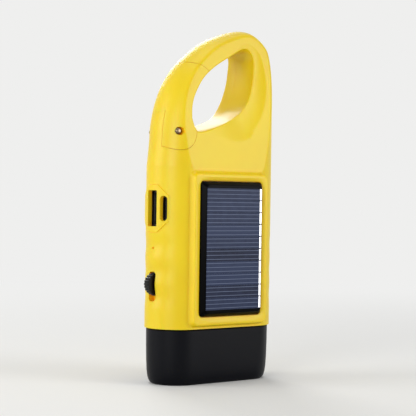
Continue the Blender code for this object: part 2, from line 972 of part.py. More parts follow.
def make_head_bezel(material):
    rings = [section(inset, height) for height, inset in head_rim]
    shoulder = seam_height - rest_gap
    rings.append(section(head_inset, shoulder))
    rings.append(section(wall + rest_gap, shoulder))
    rings.append(section(wall + rest_gap, shoulder + collar_height))
    bezel = loft("head_bezel", rings, material)
    top = shoulder + collar_height + overrun
    window = [(window_inset, -overrun), (window_inset, window_depth)]
    inside = [(bore_inset, window_depth), (bore_inset, top)]
    cut(bezel, loft("inside", [section(*ring) for ring in window + inside]))
    sharpen(bezel)
    return bezel


def make_front_lens(material):
    outline = stadium(side_axis, lens_radius, side_steps)
    prism("front_lens", outline, lens_low, lens_low + lens_thick, "Z", material)


def make_lens_seal(material):
    top = seal_low + seal_thick
    outline = stadium(side_axis, lens_radius, side_steps)
    seal = prism("lens_seal", outline, seal_low, top, "Z", material)
    cut(seal, prism(
        "seal room", stadium(side_axis, lens_radius - seal_width, side_steps),
        seal_low - overrun, top + overrun, "Z",
    ))


def lamp_places():
    return [((i - (cup_count - 1) / 2) * cup_pitch, 0.0) for i in range(cup_count)]


def lamp_screw_places():
    reach = lens_radius - lamp_screw_inset
    return [(side * cup_pitch / 2, side * reach) for side in (-1, 1)]


def make_reflector(material):
    top = reflector_low + reflector_height
    outline = stadium(side_axis, lens_radius, side_steps)
    reflector = prism("reflector", outline, reflector_low, top, "Z", material)
    for centre in lamp_places():
        profile = [(0, reflector_low - overrun), (cup_mouth_radius, reflector_low - overrun)]
        for i in range(cup_rings + 1):
            share = i / cup_rings
            squared = cup_neck_radius**2 + (cup_mouth_radius**2 - cup_neck_radius**2) * (1 - share)
            profile.append((math.sqrt(squared), reflector_low + cup_depth * share))
        profile += [(cup_neck_radius, top + overrun), (0, top + overrun)]
        cut(reflector, turned("cup", profile, centre, "Z", 16))
    for centre in lamp_screw_places():
        cut(reflector, bore(
            "screw hole", centre, small_screw_shank_radius, running_gap,
            top - small_screw_length, top + overrun, "Z", 8,
        ))
    sharpen(reflector)


def make_lamps(board_finish, lamp_finish, screw_finish):
    top = lamp_board_low + lamp_board_thick
    outline = stadium(side_axis, lens_radius, side_steps)
    board = prism("lamp_board", outline, lamp_board_low, top, "Z", board_finish)
    seat = lamp_board_low - rest_gap / 2
    for number, centre in enumerate(lamp_places(), 1):
        tip = seat - lamp_length
        dome = lamp_length - lamp_flange_thick
        profile = [(lamp_radius * out, tip + lamp_radius * up) for out, up in lamp_dome_shares]
        profile += [
            (lamp_radius, tip + dome),
            (lamp_flange_radius, tip + dome),
            (lamp_flange_radius, seat),
            (0, seat),
        ]
        turned(f"lamp_{number}", profile, centre, "Z", 14, lamp_finish)
    for number, centre in enumerate(lamp_screw_places(), 1):
        cut(board, bore(
            "screw hole", centre, small_screw_shank_radius, rest_gap,
            lamp_board_low - overrun, top + overrun, "Z", 10,
        ))
        screw(
            f"lamp_board_screw_{number}", centre, top + rest_gap, "Z", 1,
            (small_screw_head_radius, small_screw_head_thick), small_screw_shank_radius,
            small_screw_length, 10, screw_finish,
        )


# Solar panel

def cell_outline(out):
    low = panel_centre_height - cell_area_height / 2 - out
    high = panel_centre_height + cell_area_height / 2 + out
    return rectangle(-cell_area_width / 2 - out, cell_area_width / 2 + out, low, high)


def busbar_edges():
    right = cell_area_width / 2 - busbar_width
    return right, right + busbar_width


def make_solar_panel(panel_finish, cell_finish, busbar_finish):
    rings = [
        [place(a, b, -panel_back_depth, "Y") for a, b in panel_outline(0.0)],
        [place(a, b, -panel_edge_depth, "Y") for a, b in panel_outline(0.0)],
        [place(a, b, -panel_face_depth, "Y") for a, b in panel_outline(-panel_bevel_width)],
    ]
    panel = loft("solar_panel", rings, panel_finish)
    floor = -panel_face_depth + cell_thick + rest_gap
    pocket = cell_outline(rest_gap / 2)
    cut(panel, prism("cell pocket", pocket, -panel_face_depth - overrun, floor, "Y"))

    face, back = -panel_face_depth, -panel_face_depth + cell_thick
    cells = prism("solar_cells", cell_outline(0.0), face, back, "Y", cell_finish)
    pitch = cell_area_height / cell_count
    low = panel_centre_height - cell_area_height / 2
    for i in range(1, cell_count):
        middle = low + pitch * i
        cut(cells, block(
            "groove", -half_width, half_width, face - overrun, face + cell_groove_depth,
            middle - cell_groove_width / 2, middle + cell_groove_width / 2,
        ))
    left, right = busbar_edges()
    cut(cells, block(
        "busbar room", left - running_gap, right + overrun, face - overrun,
        face + cell_thick / 2, low - overrun, low + cell_area_height + overrun,
    ))
    block(
        "solar_busbar", left, right, face, face + cell_thick / 2 - running_gap,
        low + cell_groove_width, low + cell_area_height - cell_groove_width, busbar_finish,
    )


# Electronics

def make_circuit_board(board_finish, screw_finish):
    outline = rectangle(board_left, board_right, board_low_height, board_top_height)
    board = prism("circuit_board", outline, board_front_depth, board_back_depth, "Y", board_finish)
    for number, height in enumerate(board_screw_heights, 1):
        centre = (board_screw_across, height)
        cut(board, bore(
            "screw hole", centre, small_screw_shank_radius, rest_gap,
            board_front_depth - overrun, board_back_depth + overrun, "Y", 10,
        ))
        screw(
            f"circuit_board_screw_{number}", centre, board_back_depth + rest_gap, "Y", 1,
            (small_screw_head_radius, small_screw_head_thick), small_screw_shank_radius,
            small_screw_length, 10, screw_finish,
        )


def make_sockets(shell_finish, tongue_finish):
    mouth = -half_width - pad_rise + wide_port_setback
    end = mouth + wide_socket_depth
    low = board_back_depth + rest_gap
    high = low + wide_port_width - 2 * rest_gap
    half = wide_port_height / 2 - rest_gap
    bottom, top = pad_centre_height - half, pad_centre_height + half
    shell = block("wide_socket", mouth, end, low, high, bottom, top, shell_finish)
    w = socket_wall
    cut(shell, block(
        "wide room", mouth - overrun, end - w, low + w, high - w, bottom + w, top - w
    ))
    inner = rest_gap + w
    block(
        "wide_socket_tongue", mouth + 2 * w, end - inner, high - inner - tongue_thick, high - inner,
        bottom + tongue_thick, top - tongue_thick, tongue_finish,
    )

    surface = -side_axis - math.sqrt(side_radius**2 - small_port_centre_depth**2)
    mouth = surface - pad_rise + small_port_setback
    end = mouth + small_socket_depth
    fit = 2 * (rest_gap - running_gap)
    outer = port_outline(small_port_centre_depth, small_port_width - fit, small_port_height - fit)
    inner = port_outline(
        small_port_centre_depth, small_port_width - fit - 2 * w, small_port_height - fit - 2 * w
    )
    small = prism("small_socket", outer, mouth, end, "X", shell_finish)
    cut(small, prism("small room", inner, mouth - overrun, end - w, "X"))
    reach = small_port_height / 2 - small_port_width / 2
    block(
        "small_socket_tongue", mouth + 2 * w, end - w - rest_gap,
        small_port_centre_depth - small_tongue_thick / 2,
        small_port_centre_depth + small_tongue_thick / 2,
        pad_centre_height - reach, pad_centre_height + reach, tongue_finish,
    )


def make_indicator(material):
    start = -half_width + rest_gap
    prism(
        "indicator_light_pipe", circle((pad_centre_depth, indicator_height), indicator_radius, 8),
        start, start + indicator_length, "X", material,
    )


def make_switch(knob_finish, body_finish):
    centre = (-half_width - knob_rise + knob_radius, knob_centre_height)
    flat = slot_floor - rest_gap
    half_angle = math.degrees(math.acos((centre[0] - flat) / knob_radius))
    outline = []
    steps = knob_rib_points * knob_rib_count
    for i in range(steps + 1):
        deep = knob_rib_depth if i % knob_rib_points > 1 else 0.0
        angle = 180 + half_angle - 2 * half_angle * i / steps
        outline.append(polar(centre, knob_radius - deep, angle))
    outline = [(min(x, flat), z) for x, z in outline]
    origin = (flat, 0.0, knob_centre_height)
    half = knob_width / 2
    slider = prism("switch_slider", outline, -half, half, "Y", knob_finish, origin)
    tip = slot_floor + slot_wall + stem_reach
    join(slider, stem_block("stem", 0.0, 0.0, flat - rest_gap, tip))

    front = slot_floor + slot_wall + rest_gap
    low = board_back_depth + rest_gap
    middle = knob_centre_height - knob_travel / 2
    body = block(
        "switch_body", front, front + switch_depth, low, low + switch_thick,
        middle - switch_height / 2, middle + switch_height / 2, body_finish,
    )
    cut(body, stem_block("stem room", rest_gap, knob_travel, front - overrun, tip + rest_gap))


def make_battery(material):
    outline = rounded_rectangle(
        battery_centre_across - battery_width / 2, battery_centre_across + battery_width / 2,
        battery_low_height, battery_low_height + battery_height, battery_corner,
    )
    prism("battery_cell", outline, battery_front, battery_back, "Y", material)


# Gear train

def make_gear_plate(plate_finish, screw_finish):
    around = []
    for centre in plate_posts:
        around += circle(centre, plate_margin, 16)
    around += circle(rotor_axis, plate_rotor_margin, 16)
    around += circle(crank_axis, plate_margin, 16)
    plate = prism("gear_plate", hull(around), plate_front, plate_back, "Y", plate_finish)
    for number, centre in enumerate(plate_posts, 1):
        cut(plate, bore(
            "screw hole", centre, small_screw_shank_radius, rest_gap,
            plate_front - overrun, plate_back + overrun, "Y", 10,
        ))
        screw(
            f"gear_plate_screw_{number}", centre, plate_front - rest_gap, "Y", -1,
            (small_screw_head_radius, small_screw_head_thick), small_screw_shank_radius,
            small_screw_length, 10, screw_finish,
        )
    for centre in (first_idler_axis, second_idler_axis):
        cut(plate, bore(
            "axle hole", centre, axle_radius, running_gap, plate_back - axle_plate_seat,
            plate_back + overrun, "Y", 10,
        ))
    for centre, radius in ((rotor_axis, axle_radius), (crank_axis, shaft_nose_radius)):
        cut(plate, bore(
            "shaft hole", centre, radius, running_gap, plate_front - overrun,
            plate_back + overrun, "Y", 16,
        ))
    sharpen(plate)


def gear_bore(centre, low, high):
    return bore(
        "gear bore", centre, axle_radius, running_gap, low - overrun, high + overrun, "Y", 12
    )


def make_idler(name, axis, phase, wheel_low, pinion_module, pinion_low, material):
    """A wheel and a pinion on one hub, with teeth in two layers."""
    x, z = axis
    origin = (x, 0.0, z)
    hub_low, hub_high = plate_back + rest_gap, layer_a_top
    gear = prism(
        name, gear_outline(axis, train_module, wheel_teeth, phase),
        wheel_low, wheel_low + wheel_thick, "Y", material, origin,
    )
    pinion = prism(
        "pinion", gear_outline(axis, pinion_module, pinion_teeth, phase),
        wheel_low + wheel_thick / 2, pinion_low + wheel_thick, "Y",
    )
    join(gear, pinion)
    join(gear, prism("hub", circle(axis, hub_radius, 16), hub_low, hub_high, "Y"))
    cut(gear, gear_bore(axis, hub_low, hub_high))
    sharpen(gear)
    return gear


def make_axle(name, axis, material):
    low = plate_back - axle_plate_seat + rest_gap
    high = cover_inner_plane + axle_cover_seat - rest_gap
    prism(name, circle(axis, axle_radius, 10), low, high, "Y", material)


def square(centre, side):
    half = side / 2
    return rectangle(centre[0] - half, centre[0] + half, centre[1] - half, centre[1] + half)


def make_gear_train(gear_finish, steel_finish):
    first_phase = meshing_phase(
        crank_axis, crank_teeth, crank_gear_phase, first_idler_axis, pinion_teeth
    )
    second_phase = meshing_phase(
        first_idler_axis, wheel_teeth, first_phase, second_idler_axis, pinion_teeth
    )
    rotor_phase = meshing_phase(
        second_idler_axis, wheel_teeth, second_phase, rotor_axis, pinion_teeth
    )
    x, z = crank_axis
    gear = prism(
        "crank_gear", gear_outline(crank_axis, crank_module, crank_teeth, crank_gear_phase),
        layer_a_low, layer_a_top, "Y", gear_finish, (x, 0.0, z),
    )
    hub_low = plate_back + rest_gap
    join(gear, prism("hub", circle(crank_axis, shaft_square, 20), hub_low, layer_a_top, "Y"))
    cut(gear, prism(
        "square hole", square(crank_axis, shaft_square + 2 * running_gap),
        hub_low - overrun, layer_a_top + overrun, "Y",
    ))
    pitch_radius = crank_module * crank_teeth / 2
    for i in range(gear_hole_count):
        centre = polar(crank_axis, pitch_radius * gear_hole_place_share, 360 * i / gear_hole_count)
        cut(gear, prism(
            "lightening hole", circle(centre, gear_hole_radius, 12), layer_a_low - overrun,
            layer_a_top + overrun, "Y",
        ))
    sharpen(gear)
    make_idler(
        "idler_gear_1", first_idler_axis, first_phase, layer_b_low, crank_module, layer_a_low,
        gear_finish,
    )
    make_idler(
        "idler_gear_2", second_idler_axis, second_phase, layer_c_low, train_module, layer_b_low,
        gear_finish,
    )
    make_axle("idler_axle_1", first_idler_axis, steel_finish)
    make_axle("idler_axle_2", second_idler_axis, steel_finish)
    x, z = rotor_axis
    pinion = prism(
        "rotor_pinion", gear_outline(rotor_axis, train_module, pinion_teeth, rotor_phase),
        layer_c_low, layer_c_top, "Y", gear_finish, (x, 0.0, z),
    )
    cut(pinion, gear_bore(rotor_axis, layer_c_low, layer_c_top))


# Generator

def make_generator(can_finish, coil_finish, magnet_finish, steel_finish):
    floor = can_front + can_wall
    poles_end = can_back - coil_gap
    bore_radius = hole_radius(axle_radius, running_gap, 20)
    ring_in = pole_ring_radius - pole_ring_wall
    profile = [
        (bore_radius, can_front),
        (can_radius, can_front),
        (can_radius, can_back),
        (can_radius - can_wall, can_back),
        (can_radius - can_wall, floor),
        (pole_ring_radius, floor),
        (pole_ring_radius, poles_end),
        (ring_in, poles_end),
        (ring_in, floor),
        (bore_radius, floor),
    ]
    can = turned("stator_can", profile, rotor_axis, "Y", 20, can_finish)
    x, z = rotor_axis
    half = pole_slot_width / 2
    for i in range(pole_count):
        slot = block(
            "pole slot", x + ring_in - half, x + pole_ring_radius + half, floor + can_wall,
            can_back + overrun, z - half, z + half,
        )
        turn = Matrix.Rotation(math.radians(360 * (i + 0.5) / pole_count), 4, "Y")
        centre = Matrix.Translation((x, 0.0, z))
        slot.data.transform(centre @ turn @ centre.inverted())
        cut(can, slot)
    sharpen(can)
    coil_in, coil_out = pole_ring_radius + coil_gap, can_radius - can_wall - coil_gap
    profile = [
        (coil_in, floor + rest_gap),
        (coil_out, floor + rest_gap),
        (coil_out, poles_end),
        (coil_in, poles_end),
    ]
    turned("stator_coil", profile, rotor_axis, "Y", 20, coil_finish)
    magnet_out = ring_in - rotor_gap
    profile = [
        (bore_radius, floor + rotor_end_gap),
        (magnet_out, floor + rotor_end_gap),
        (magnet_out, poles_end),
        (bore_radius, poles_end),
    ]
    turned("rotor_magnet", profile, rotor_axis, "Y", 20, magnet_finish, (x, 0.0, z))
    profile = [
        (0, can_front + running_gap),
        (axle_radius, can_front + running_gap),
        (axle_radius, layer_c_top + layer_gap / 2),
        (0, layer_c_top + layer_gap / 2),
    ]
    turned("rotor_shaft", profile, rotor_axis, "Y", 12, steel_finish, (x, 0.0, z))


# Crank

def make_crank_shaft(shaft_finish, bushing_finish):
    x, z = crank_axis
    origin = (x, 0.0, z)
    hub_low = plate_back + rest_gap
    collar_low = layer_a_top + running_gap
    collar_high = arm_front - running_gap
    profile = [
        (0, plate_front + running_gap),
        (shaft_nose_radius, plate_front + running_gap),
        (shaft_nose_radius, hub_low + join_depth),
        (0, hub_low + join_depth),
    ]
    shaft = turned("crank_shaft", profile, crank_axis, "Y", 16, shaft_finish, origin)
    join(shaft, prism("square", square(crank_axis, shaft_square), hub_low, shaft_end, "Y"))
    join(shaft, prism("round", circle(crank_axis, shaft_radius, 20), collar_low, collar_high, "Y"))
    cut(shaft, bore(
        "screw hole", crank_axis, screw_shank_radius, running_gap, shaft_end - crank_screw_length,
        shaft_end + overrun, "Y", 10,
    ))
    sharpen(shaft)

    inner = hole_radius(shaft_radius, running_gap, 20)
    flange_end = cover_inner_plane - rest_gap
    boss_end = cover_inner_plane - cover_boss_height
    profile = [
        (inner, boss_end),
        (bushing_flange_radius, boss_end),
        (bushing_flange_radius, flange_end),
        (bushing_radius, flange_end),
        (bushing_radius, side_radius),
        (inner, side_radius),
    ]
    turned("crank_bushing", profile, crank_axis, "Y", 20, bushing_finish)


def make_crank_arm(arm_finish, steel_finish):
    x, z = crank_axis
    origin = (x, 0.0, z)
    around = circle(crank_axis, arm_hub_radius, 28) + circle(arm_end, arm_end_radius, 24)
    arm = prism("crank_arm", hull(around), arm_front, arm_back, "Y", arm_finish, origin)
    rounding = arm.modifiers.new("edge", "BEVEL")
    rounding.width = arm_edge
    rounding.segments = 2
    rounding.limit_method = "ANGLE"
    rounding.angle_limit = math.radians(60)
    room = grip_width / 2 + grip_side_gap
    cut(arm, block(
        "grip room", -room, room, arm_front - overrun, arm_back + overrun,
        arm_end[1] - arm_end_radius - overrun, grip_top_height + rest_gap,
    ))
    notch = prism(
        "finger notch", circle((x, grip_top_height), grip_width / 2, 20),
        arm_back - finger_notch_depth, arm_back + overrun, "Y",
    )
    cut(arm, notch)
    cut(arm, prism(
        "square hole", square(crank_axis, shaft_square + 2 * running_gap),
        arm_front - overrun, arm_back, "Y",
    ))
    cut(arm, bore(
        "screw seat", crank_axis, crank_screw_head_radius, rest_gap, crank_screw_seat - rest_gap,
        arm_back + overrun, "Y", 20,
    ))
    tines = arm_end_radius * 2
    pin = circle((grip_middle, grip_pin_height), hole_radius(grip_pin_radius, running_gap, 12), 12)
    cut(arm, prism("pin hole", pin, -tines, tines, "X"))
    sharpen(arm)
    screw(
        "crank_screw", crank_axis, crank_screw_seat, "Y", 1,
        (crank_screw_head_radius, crank_screw_head_thick), screw_shank_radius,
        crank_screw_length, 12, steel_finish,
    )
    drop = arm_end[1] - grip_pin_height
    reach = math.sqrt(arm_end_radius**2 - drop**2) - arm_edge
    prism(
        "grip_pin", circle((grip_middle, grip_pin_height), grip_pin_radius, 12),
        -reach, reach, "X", steel_finish,
    )


def make_crank_grip(material):
    """A flat grip with a round root, which lies in the arm and folds out about its pin."""
    origin = (0.0, grip_middle, grip_pin_height)
    half = grip_thick / 2
    root = arc((grip_middle, grip_pin_height), half, 180, 360, 8)
    side = [(grip_middle + half, grip_top_height), (grip_middle - half, grip_top_height)]
    grip = prism("crank_grip", root + side, -grip_width / 2, grip_width / 2, "X", material, origin)
    tip = rounded_rectangle(
        -grip_width / 2, grip_width / 2, grip_pin_height - grip_thick, grip_top_height,
        grip_corner,
    )
    keep(grip, prism("tip", tip, grip_middle - grip_thick, grip_middle + grip_thick, "Y"))
    pin = circle((grip_middle, grip_pin_height), hole_radius(grip_pin_radius, running_gap, 12), 12)
    cut(grip, prism("pin hole", pin, -grip_width, grip_width, "X"))
    sharpen(grip)


# Gate pin and spring

def make_gate_pin(material):
    pin = circle(gate_axis, gate_pin_radius, 12)
    prism("gate_pin", pin, -gate_pin_reach, gate_pin_reach, "Y", material)


def make_gate_spring(material):
    """A torsion coil round the pin: one leg stands in the gate, the other in the body."""
    x, z = gate_axis
    count = spring_turns * spring_turn_points
    start = -spring_pitch * spring_turns / 2
    points = [(x + spring_coil_radius, start, z - spring_foot_length)]
    for i in range(count + 1):
        turn = i / spring_turn_points
        across, height = polar(gate_axis, spring_coil_radius, 360 * turn)
        points.append((across, start + spring_pitch * turn, height))
    last = points[-1]
    points.append((last[0], last[1], z + spring_leg_length))
    curve = bpy.data.curves.new("gate_spring", "CURVE")
    curve.dimensions = "3D"
    curve.bevel_depth = spring_wire_radius
    curve.bevel_resolution = 1
    curve.use_fill_caps = True
    line = curve.splines.new("POLY")
    line.points.add(len(points) - 1)
    for point, where in zip(line.points, points):
        point.co = (*where, 1.0)
    curve.materials.append(material)
    spring = bpy.data.objects.new("gate_spring", curve)
    bpy.context.collection.objects.link(spring)


def main():
    for thing in list(bpy.data.objects):
        bpy.data.objects.remove(thing)
    yellow = finish("yellow plastic", (0.80, 0.58, 0.03), 0.35)
    black = finish("black plastic", (0.012, 0.012, 0.014), 0.45)
    clear = finish("clear plastic", (0.95, 0.97, 1.0), 0.05, alpha=0.3)
    rubber = finish("seal rubber", (0.02, 0.02, 0.02), 0.8)
    mirror = finish("bright reflector", (0.9, 0.9, 0.9), 0.08, 1.0)
    board = finish("green board", (0.01, 0.13, 0.05), 0.5)
    panel = finish("black panel epoxy", (0.01, 0.01, 0.012), 0.2)
    cells = finish("blue silicon", (0.02, 0.03, 0.09), 0.25)
    silver = finish("silver strip", (0.8, 0.8, 0.8), 0.3, 1.0)
    steel = finish("steel", (0.55, 0.56, 0.58), 0.3, 1.0)
    white = finish("white gear plastic", (0.75, 0.74, 0.70), 0.5)
    brass = finish("brass", (0.72, 0.52, 0.20), 0.3, 1.0)
    copper = finish("copper wire", (0.70, 0.28, 0.12), 0.35, 1.0)
    magnet = finish("dark magnet", (0.06, 0.06, 0.065), 0.5)
    foil = finish("battery foil", (0.55, 0.57, 0.60), 0.4, 0.8)

    make_main_housing(yellow)
    make_back_cover(yellow)
    make_cover_screws(steel)
    make_gate(yellow)
    make_gate_pin(steel)
    make_gate_spring(steel)
    make_head_bezel(black)
    make_front_lens(clear)
    make_lens_seal(rubber)
    make_reflector(mirror)
    make_lamps(board, clear, steel)
    make_solar_panel(panel, cells, silver)
    make_circuit_board(board, steel)
    make_sockets(steel, black)
    make_indicator(clear)
    make_switch(black, black)
    make_battery(foil)
    make_gear_plate(white, steel)
    make_gear_train(white, steel)
    make_generator(steel, copper, magnet, steel)
    make_crank_shaft(steel, brass)
    make_crank_arm(yellow, steel)
    make_crank_grip(black)
    for piece in bpy.data.objects:
        piece.location.x += knob_rise / 2


main()
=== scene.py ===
import bpy
import bmesh
import math
from mathutils import Matrix, Vector


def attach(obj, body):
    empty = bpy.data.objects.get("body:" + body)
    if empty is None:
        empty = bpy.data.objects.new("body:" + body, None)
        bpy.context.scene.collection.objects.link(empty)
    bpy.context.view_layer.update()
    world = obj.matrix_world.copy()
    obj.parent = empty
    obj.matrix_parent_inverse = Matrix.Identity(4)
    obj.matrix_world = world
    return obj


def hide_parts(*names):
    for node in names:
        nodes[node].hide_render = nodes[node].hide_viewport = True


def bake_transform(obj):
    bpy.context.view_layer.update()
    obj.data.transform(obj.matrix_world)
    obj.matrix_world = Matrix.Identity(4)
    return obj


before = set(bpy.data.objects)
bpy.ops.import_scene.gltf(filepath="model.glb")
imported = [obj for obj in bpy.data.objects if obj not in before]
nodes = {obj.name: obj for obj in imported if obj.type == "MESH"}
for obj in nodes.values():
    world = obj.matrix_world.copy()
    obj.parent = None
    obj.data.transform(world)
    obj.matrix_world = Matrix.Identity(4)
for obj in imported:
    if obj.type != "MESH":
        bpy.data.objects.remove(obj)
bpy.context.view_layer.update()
print("frame loaded:", len(nodes), "nodes")


# camera at the photograph's angle: a long lens, a hair off level
cameraView = dict(place=(-0.31867, -0.40889, 0.0712), yaw=37.971, pitch=-0.2956, roll=0.8451, lens=112.5,
                  nearest=0.01)


def addCamera(view):
    bpy.ops.object.camera_add(location=view["place"])
    camera = bpy.context.object
    yaw, pitch, roll = (math.radians(view[k]) for k in ("yaw", "pitch", "roll"))
    ahead = Vector((math.sin(yaw) * math.cos(pitch), math.cos(yaw) * math.cos(pitch), math.sin(pitch)))
    level = Vector((math.cos(yaw), -math.sin(yaw), 0))
    right = math.cos(roll) * level + math.sin(roll) * level.cross(ahead)
    top = right.cross(ahead)
    camera.rotation_euler = Matrix((right, top, -ahead)).transposed().to_euler()
    camera.data.lens = view["lens"]
    camera.data.clip_start = view["nearest"]
    bpy.context.scene.camera = camera


addCamera(cameraView)


# small helpers

hair = 1e-6  # points nearer than this are one


def linear(hexText):  # sRGB hex to the linear colour that the shader takes
    parts = [int(hexText[i:i + 2], 16) / 255 for i in (1, 3, 5)]
    return (*[c / 12.92 if c <= 0.04045 else ((c + 0.055) / 1.055) ** 2.4 for c in parts], 1.0)


def addNode(tree, kind, inputs=None, **settings):  # one node, its settings, and its values or links
    node = tree.nodes.new("ShaderNode" + kind)
    for name, value in settings.items():
        setattr(node, name, value)
    for name, value in (inputs or {}).items():
        if isinstance(value, bpy.types.NodeSocket):
            tree.links.new(value, node.inputs[name])
        else:
            node.inputs[name].default_value = value
    return node


def newMaterial(name):
    material = bpy.data.materials.new(name)
    material.use_nodes = True
    tree = material.node_tree
    return material, tree, tree.nodes["Principled BSDF"]


def setLook(shader, **values):  # plain numbers go straight on the shader's own sockets
    for name, value in values.items():
        shader.inputs[name.replace("_", " ")].default_value = value


def feed(tree, shader, **patterns):  # and patterns are linked to them
    for name, value in patterns.items():
        tree.links.new(value, shader.inputs[name.replace("_", " ")])


def deselectAll():
    if bpy.context.object and bpy.context.object.mode != "OBJECT":
        bpy.ops.object.mode_set(mode="OBJECT")
    bpy.ops.object.select_all(action="DESELECT")


def pick(piece):
    deselectAll()
    piece.select_set(True)
    bpy.context.view_layer.objects.active = piece


def applyStep(piece, kind, **settings):  # a modifier, set and applied
    pick(piece)
    step = piece.modifiers.new(kind.lower(), kind)
    for name, value in settings.items():
        setattr(step, name, value)
    bpy.ops.object.modifier_apply(modifier=step.name)


def carve(piece, tool, how="DIFFERENCE"):  # cuts, joins or keeps by another solid, which is used up
    applyStep(piece, "BOOLEAN", object=tool, operation=how, solver="MANIFOLD")
    bpy.data.objects.remove(tool)


def copied(pattern, move, name=None):  # a copy with a mesh of its own, moved into place
    copy = pattern.copy()
    copy.data = pattern.data.copy()
    copy.data.transform(move)
    if name:
        copy.name = name
    bpy.context.scene.collection.objects.link(copy)
    return copy


def meshPiece(name, points, faces):
    mesh = bpy.data.meshes.new(name)
    mesh.from_pydata(points, [], faces)
    piece = bpy.data.objects.new(name, mesh)
    bpy.context.scene.collection.objects.link(piece)
    outwards(piece)
    return piece


def outwards(piece):
    shape = bmesh.new()
    shape.from_mesh(piece.data)
    bmesh.ops.remove_doubles(shape, verts=shape.verts, dist=hair)
    bmesh.ops.recalc_face_normals(shape, faces=shape.faces)
    shape.to_mesh(piece.data)
    shape.free()


def stack(name, rings, ends=True, fold=None):  # like rings of points joined into a skin
    count = len(rings[0])
    points = [p for ring in rings for p in ring]
    faces = []
    for r in range(len(rings) - 1):
        low, high = r * count, (r + 1) * count
        for i in range(count):
            j = (i + 1) % count
            faces.append((low + i, low + j, high + j, high + i))
    for start in ((0, (len(rings) - 1) * count) if ends else ()):
        loop = list(range(start, start + count))
        if fold:
            faces.append(loop[fold[0]:fold[1] + 1])
            faces.append(loop[fold[1]:] + loop[:fold[0] + 1])
        else:
            faces.append(loop)
    return meshPiece(name, points, faces)


def put(across, along, level, axis):
    return {"X": (level, across, along), "Y": (across, level, along), "Z": (across, along, level)}[axis]


def layered(name, layers, axis):  # outlines at their levels along an axis, joined into a skin
    return stack(name, [[put(a, b, level, axis) for a, b in outline] for outline, level in layers])


def slab(name, outline, low, high, axis):  # an outline drawn out along an axis
    return layered(name, ((outline, low), (outline, high)), axis)


def brick(name, low, high):  # a plain cutting block
    bpy.ops.mesh.primitive_cube_add(size=1)
    tool = bpy.context.object
    tool.name = name
    centre, size = (Vector(low) + Vector(high)) / 2, Vector(high) - Vector(low)
    tool.data.transform(Matrix.Translation(centre) @ Matrix.Diagonal((*size, 1)))
    return tool


def ring(centre, radius, start, end, steps):
    turn = math.radians(end - start) / steps
    first = math.radians(start)
    return [(centre[0] + radius * math.cos(first + turn * i), centre[1] + radius * math.sin(first + turn * i))
            for i in range(steps + 1)]


def disc(centre, radius, sides):
    return ring(centre, radius, 0, 360, sides)[:-1]


def drill(piece, centre, size, low, high, sides, axis="Y", how="DIFFERENCE"):  # a round hole, or with UNION a post
    carve(piece, slab("drill", disc(centre, size, sides), low, high, axis), how)


def roundedBox(left, right, low, high, radius, steps=8):
    outline = []
    for x, z, start in ((right - radius, high - radius, 0), (left + radius, high - radius, 90),
                        (left + radius, low + radius, 180), (right - radius, low + radius, 270)):
        outline += ring((x, z), radius, start, start + 90, steps)
    return outline


def smoothCurve(points, closed, steps):  # even curve through the points
    count = len(points)
    curve = []
    for i in range(count if closed else count - 1):
        if closed:
            four = [points[(i + k) % count] for k in (-1, 0, 1, 2)]
        else:
            four = [points[min(max(i + k, 0), count - 1)] for k in (-1, 0, 1, 2)]
        a, b, c, d = (Vector(p) for p in four)
        for k in range(steps):
            t = k / steps
            bend = (2 * a - 5 * b + 4 * c - d) * t ** 2 + (3 * b - a - 3 * c + d) * t ** 3
            curve.append(tuple((2 * b + (c - a) * t + bend) / 2))
    return curve if closed else curve + [tuple(points[-1])]


def leftNormals(path, closed):
    count = len(path)
    normals = []
    for i in range(count):
        if closed:
            before, after = path[i - 1], path[(i + 1) % count]
        else:
            before, after = path[max(i - 1, 0)], path[min(i + 1, count - 1)]
        along = (Vector(after) - Vector(before)).normalized()
        normals.append(Vector((-along.y, along.x)))
    return normals


middle = 0.00115  # pieces are drawn about the body's middle; X 0 of the part is the middle of body and knob


def settle(piece, material, body, slot, *replaced, angle=32, weighted=True):  # shading, finish, and what carries it
    piece.data.transform(Matrix.Translation((middle, 0, 0)))
    pick(piece)
    bpy.ops.object.shade_smooth_by_angle(angle=math.radians(angle))
    if weighted:
        applyStep(piece, "WEIGHTED_NORMAL", keep_sharp=True, weight=60)
    piece.data.materials.clear()
    piece.data.materials.append(material)
    if body:
        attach(piece, body)
    if replaced:
        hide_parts(*replaced)
    return piece


# finishes

def objectPlace(tree):
    return addNode(tree, "TexCoord").outputs["Object"]


def speckle(tree, where, scale, detail):  # scale counts drifts or grains to the metre
    return addNode(tree, "TexNoise", {"Vector": where, "Scale": scale, "Detail": detail}).outputs["Fac"]


def twoTone(tree, value, darkHex, lightHex, start=0.35, end=0.65):
    ramp = addNode(tree, "ValToRGB", {"Fac": value})
    for stop, place, hexText in zip(ramp.color_ramp.elements, (start, end), (darkHex, lightHex)):
        stop.position, stop.color = place, linear(hexText)
    return ramp.outputs["Color"]


def spread(tree, value, low, high, start=0, end=1):  # start to end of a pattern becomes low to high
    return addNode(tree, "MapRange", {"Value": value, "From Min": start, "From Max": end, "To Min": low,
                                      "To Max": high}).outputs["Result"]


def raised(tree, value, strength, height):
    return addNode(tree, "Bump", {"Height": value, "Strength": strength, "Distance": height}).outputs["Normal"]


def maths(tree, operation, *values):
    return addNode(tree, "Math", dict(enumerate(values)), operation=operation).outputs[0]


def mixed(tree, share, first, second):
    return addNode(tree, "Mix", {0: share, "A": first, "B": second}, data_type="RGBA").outputs["Result"]


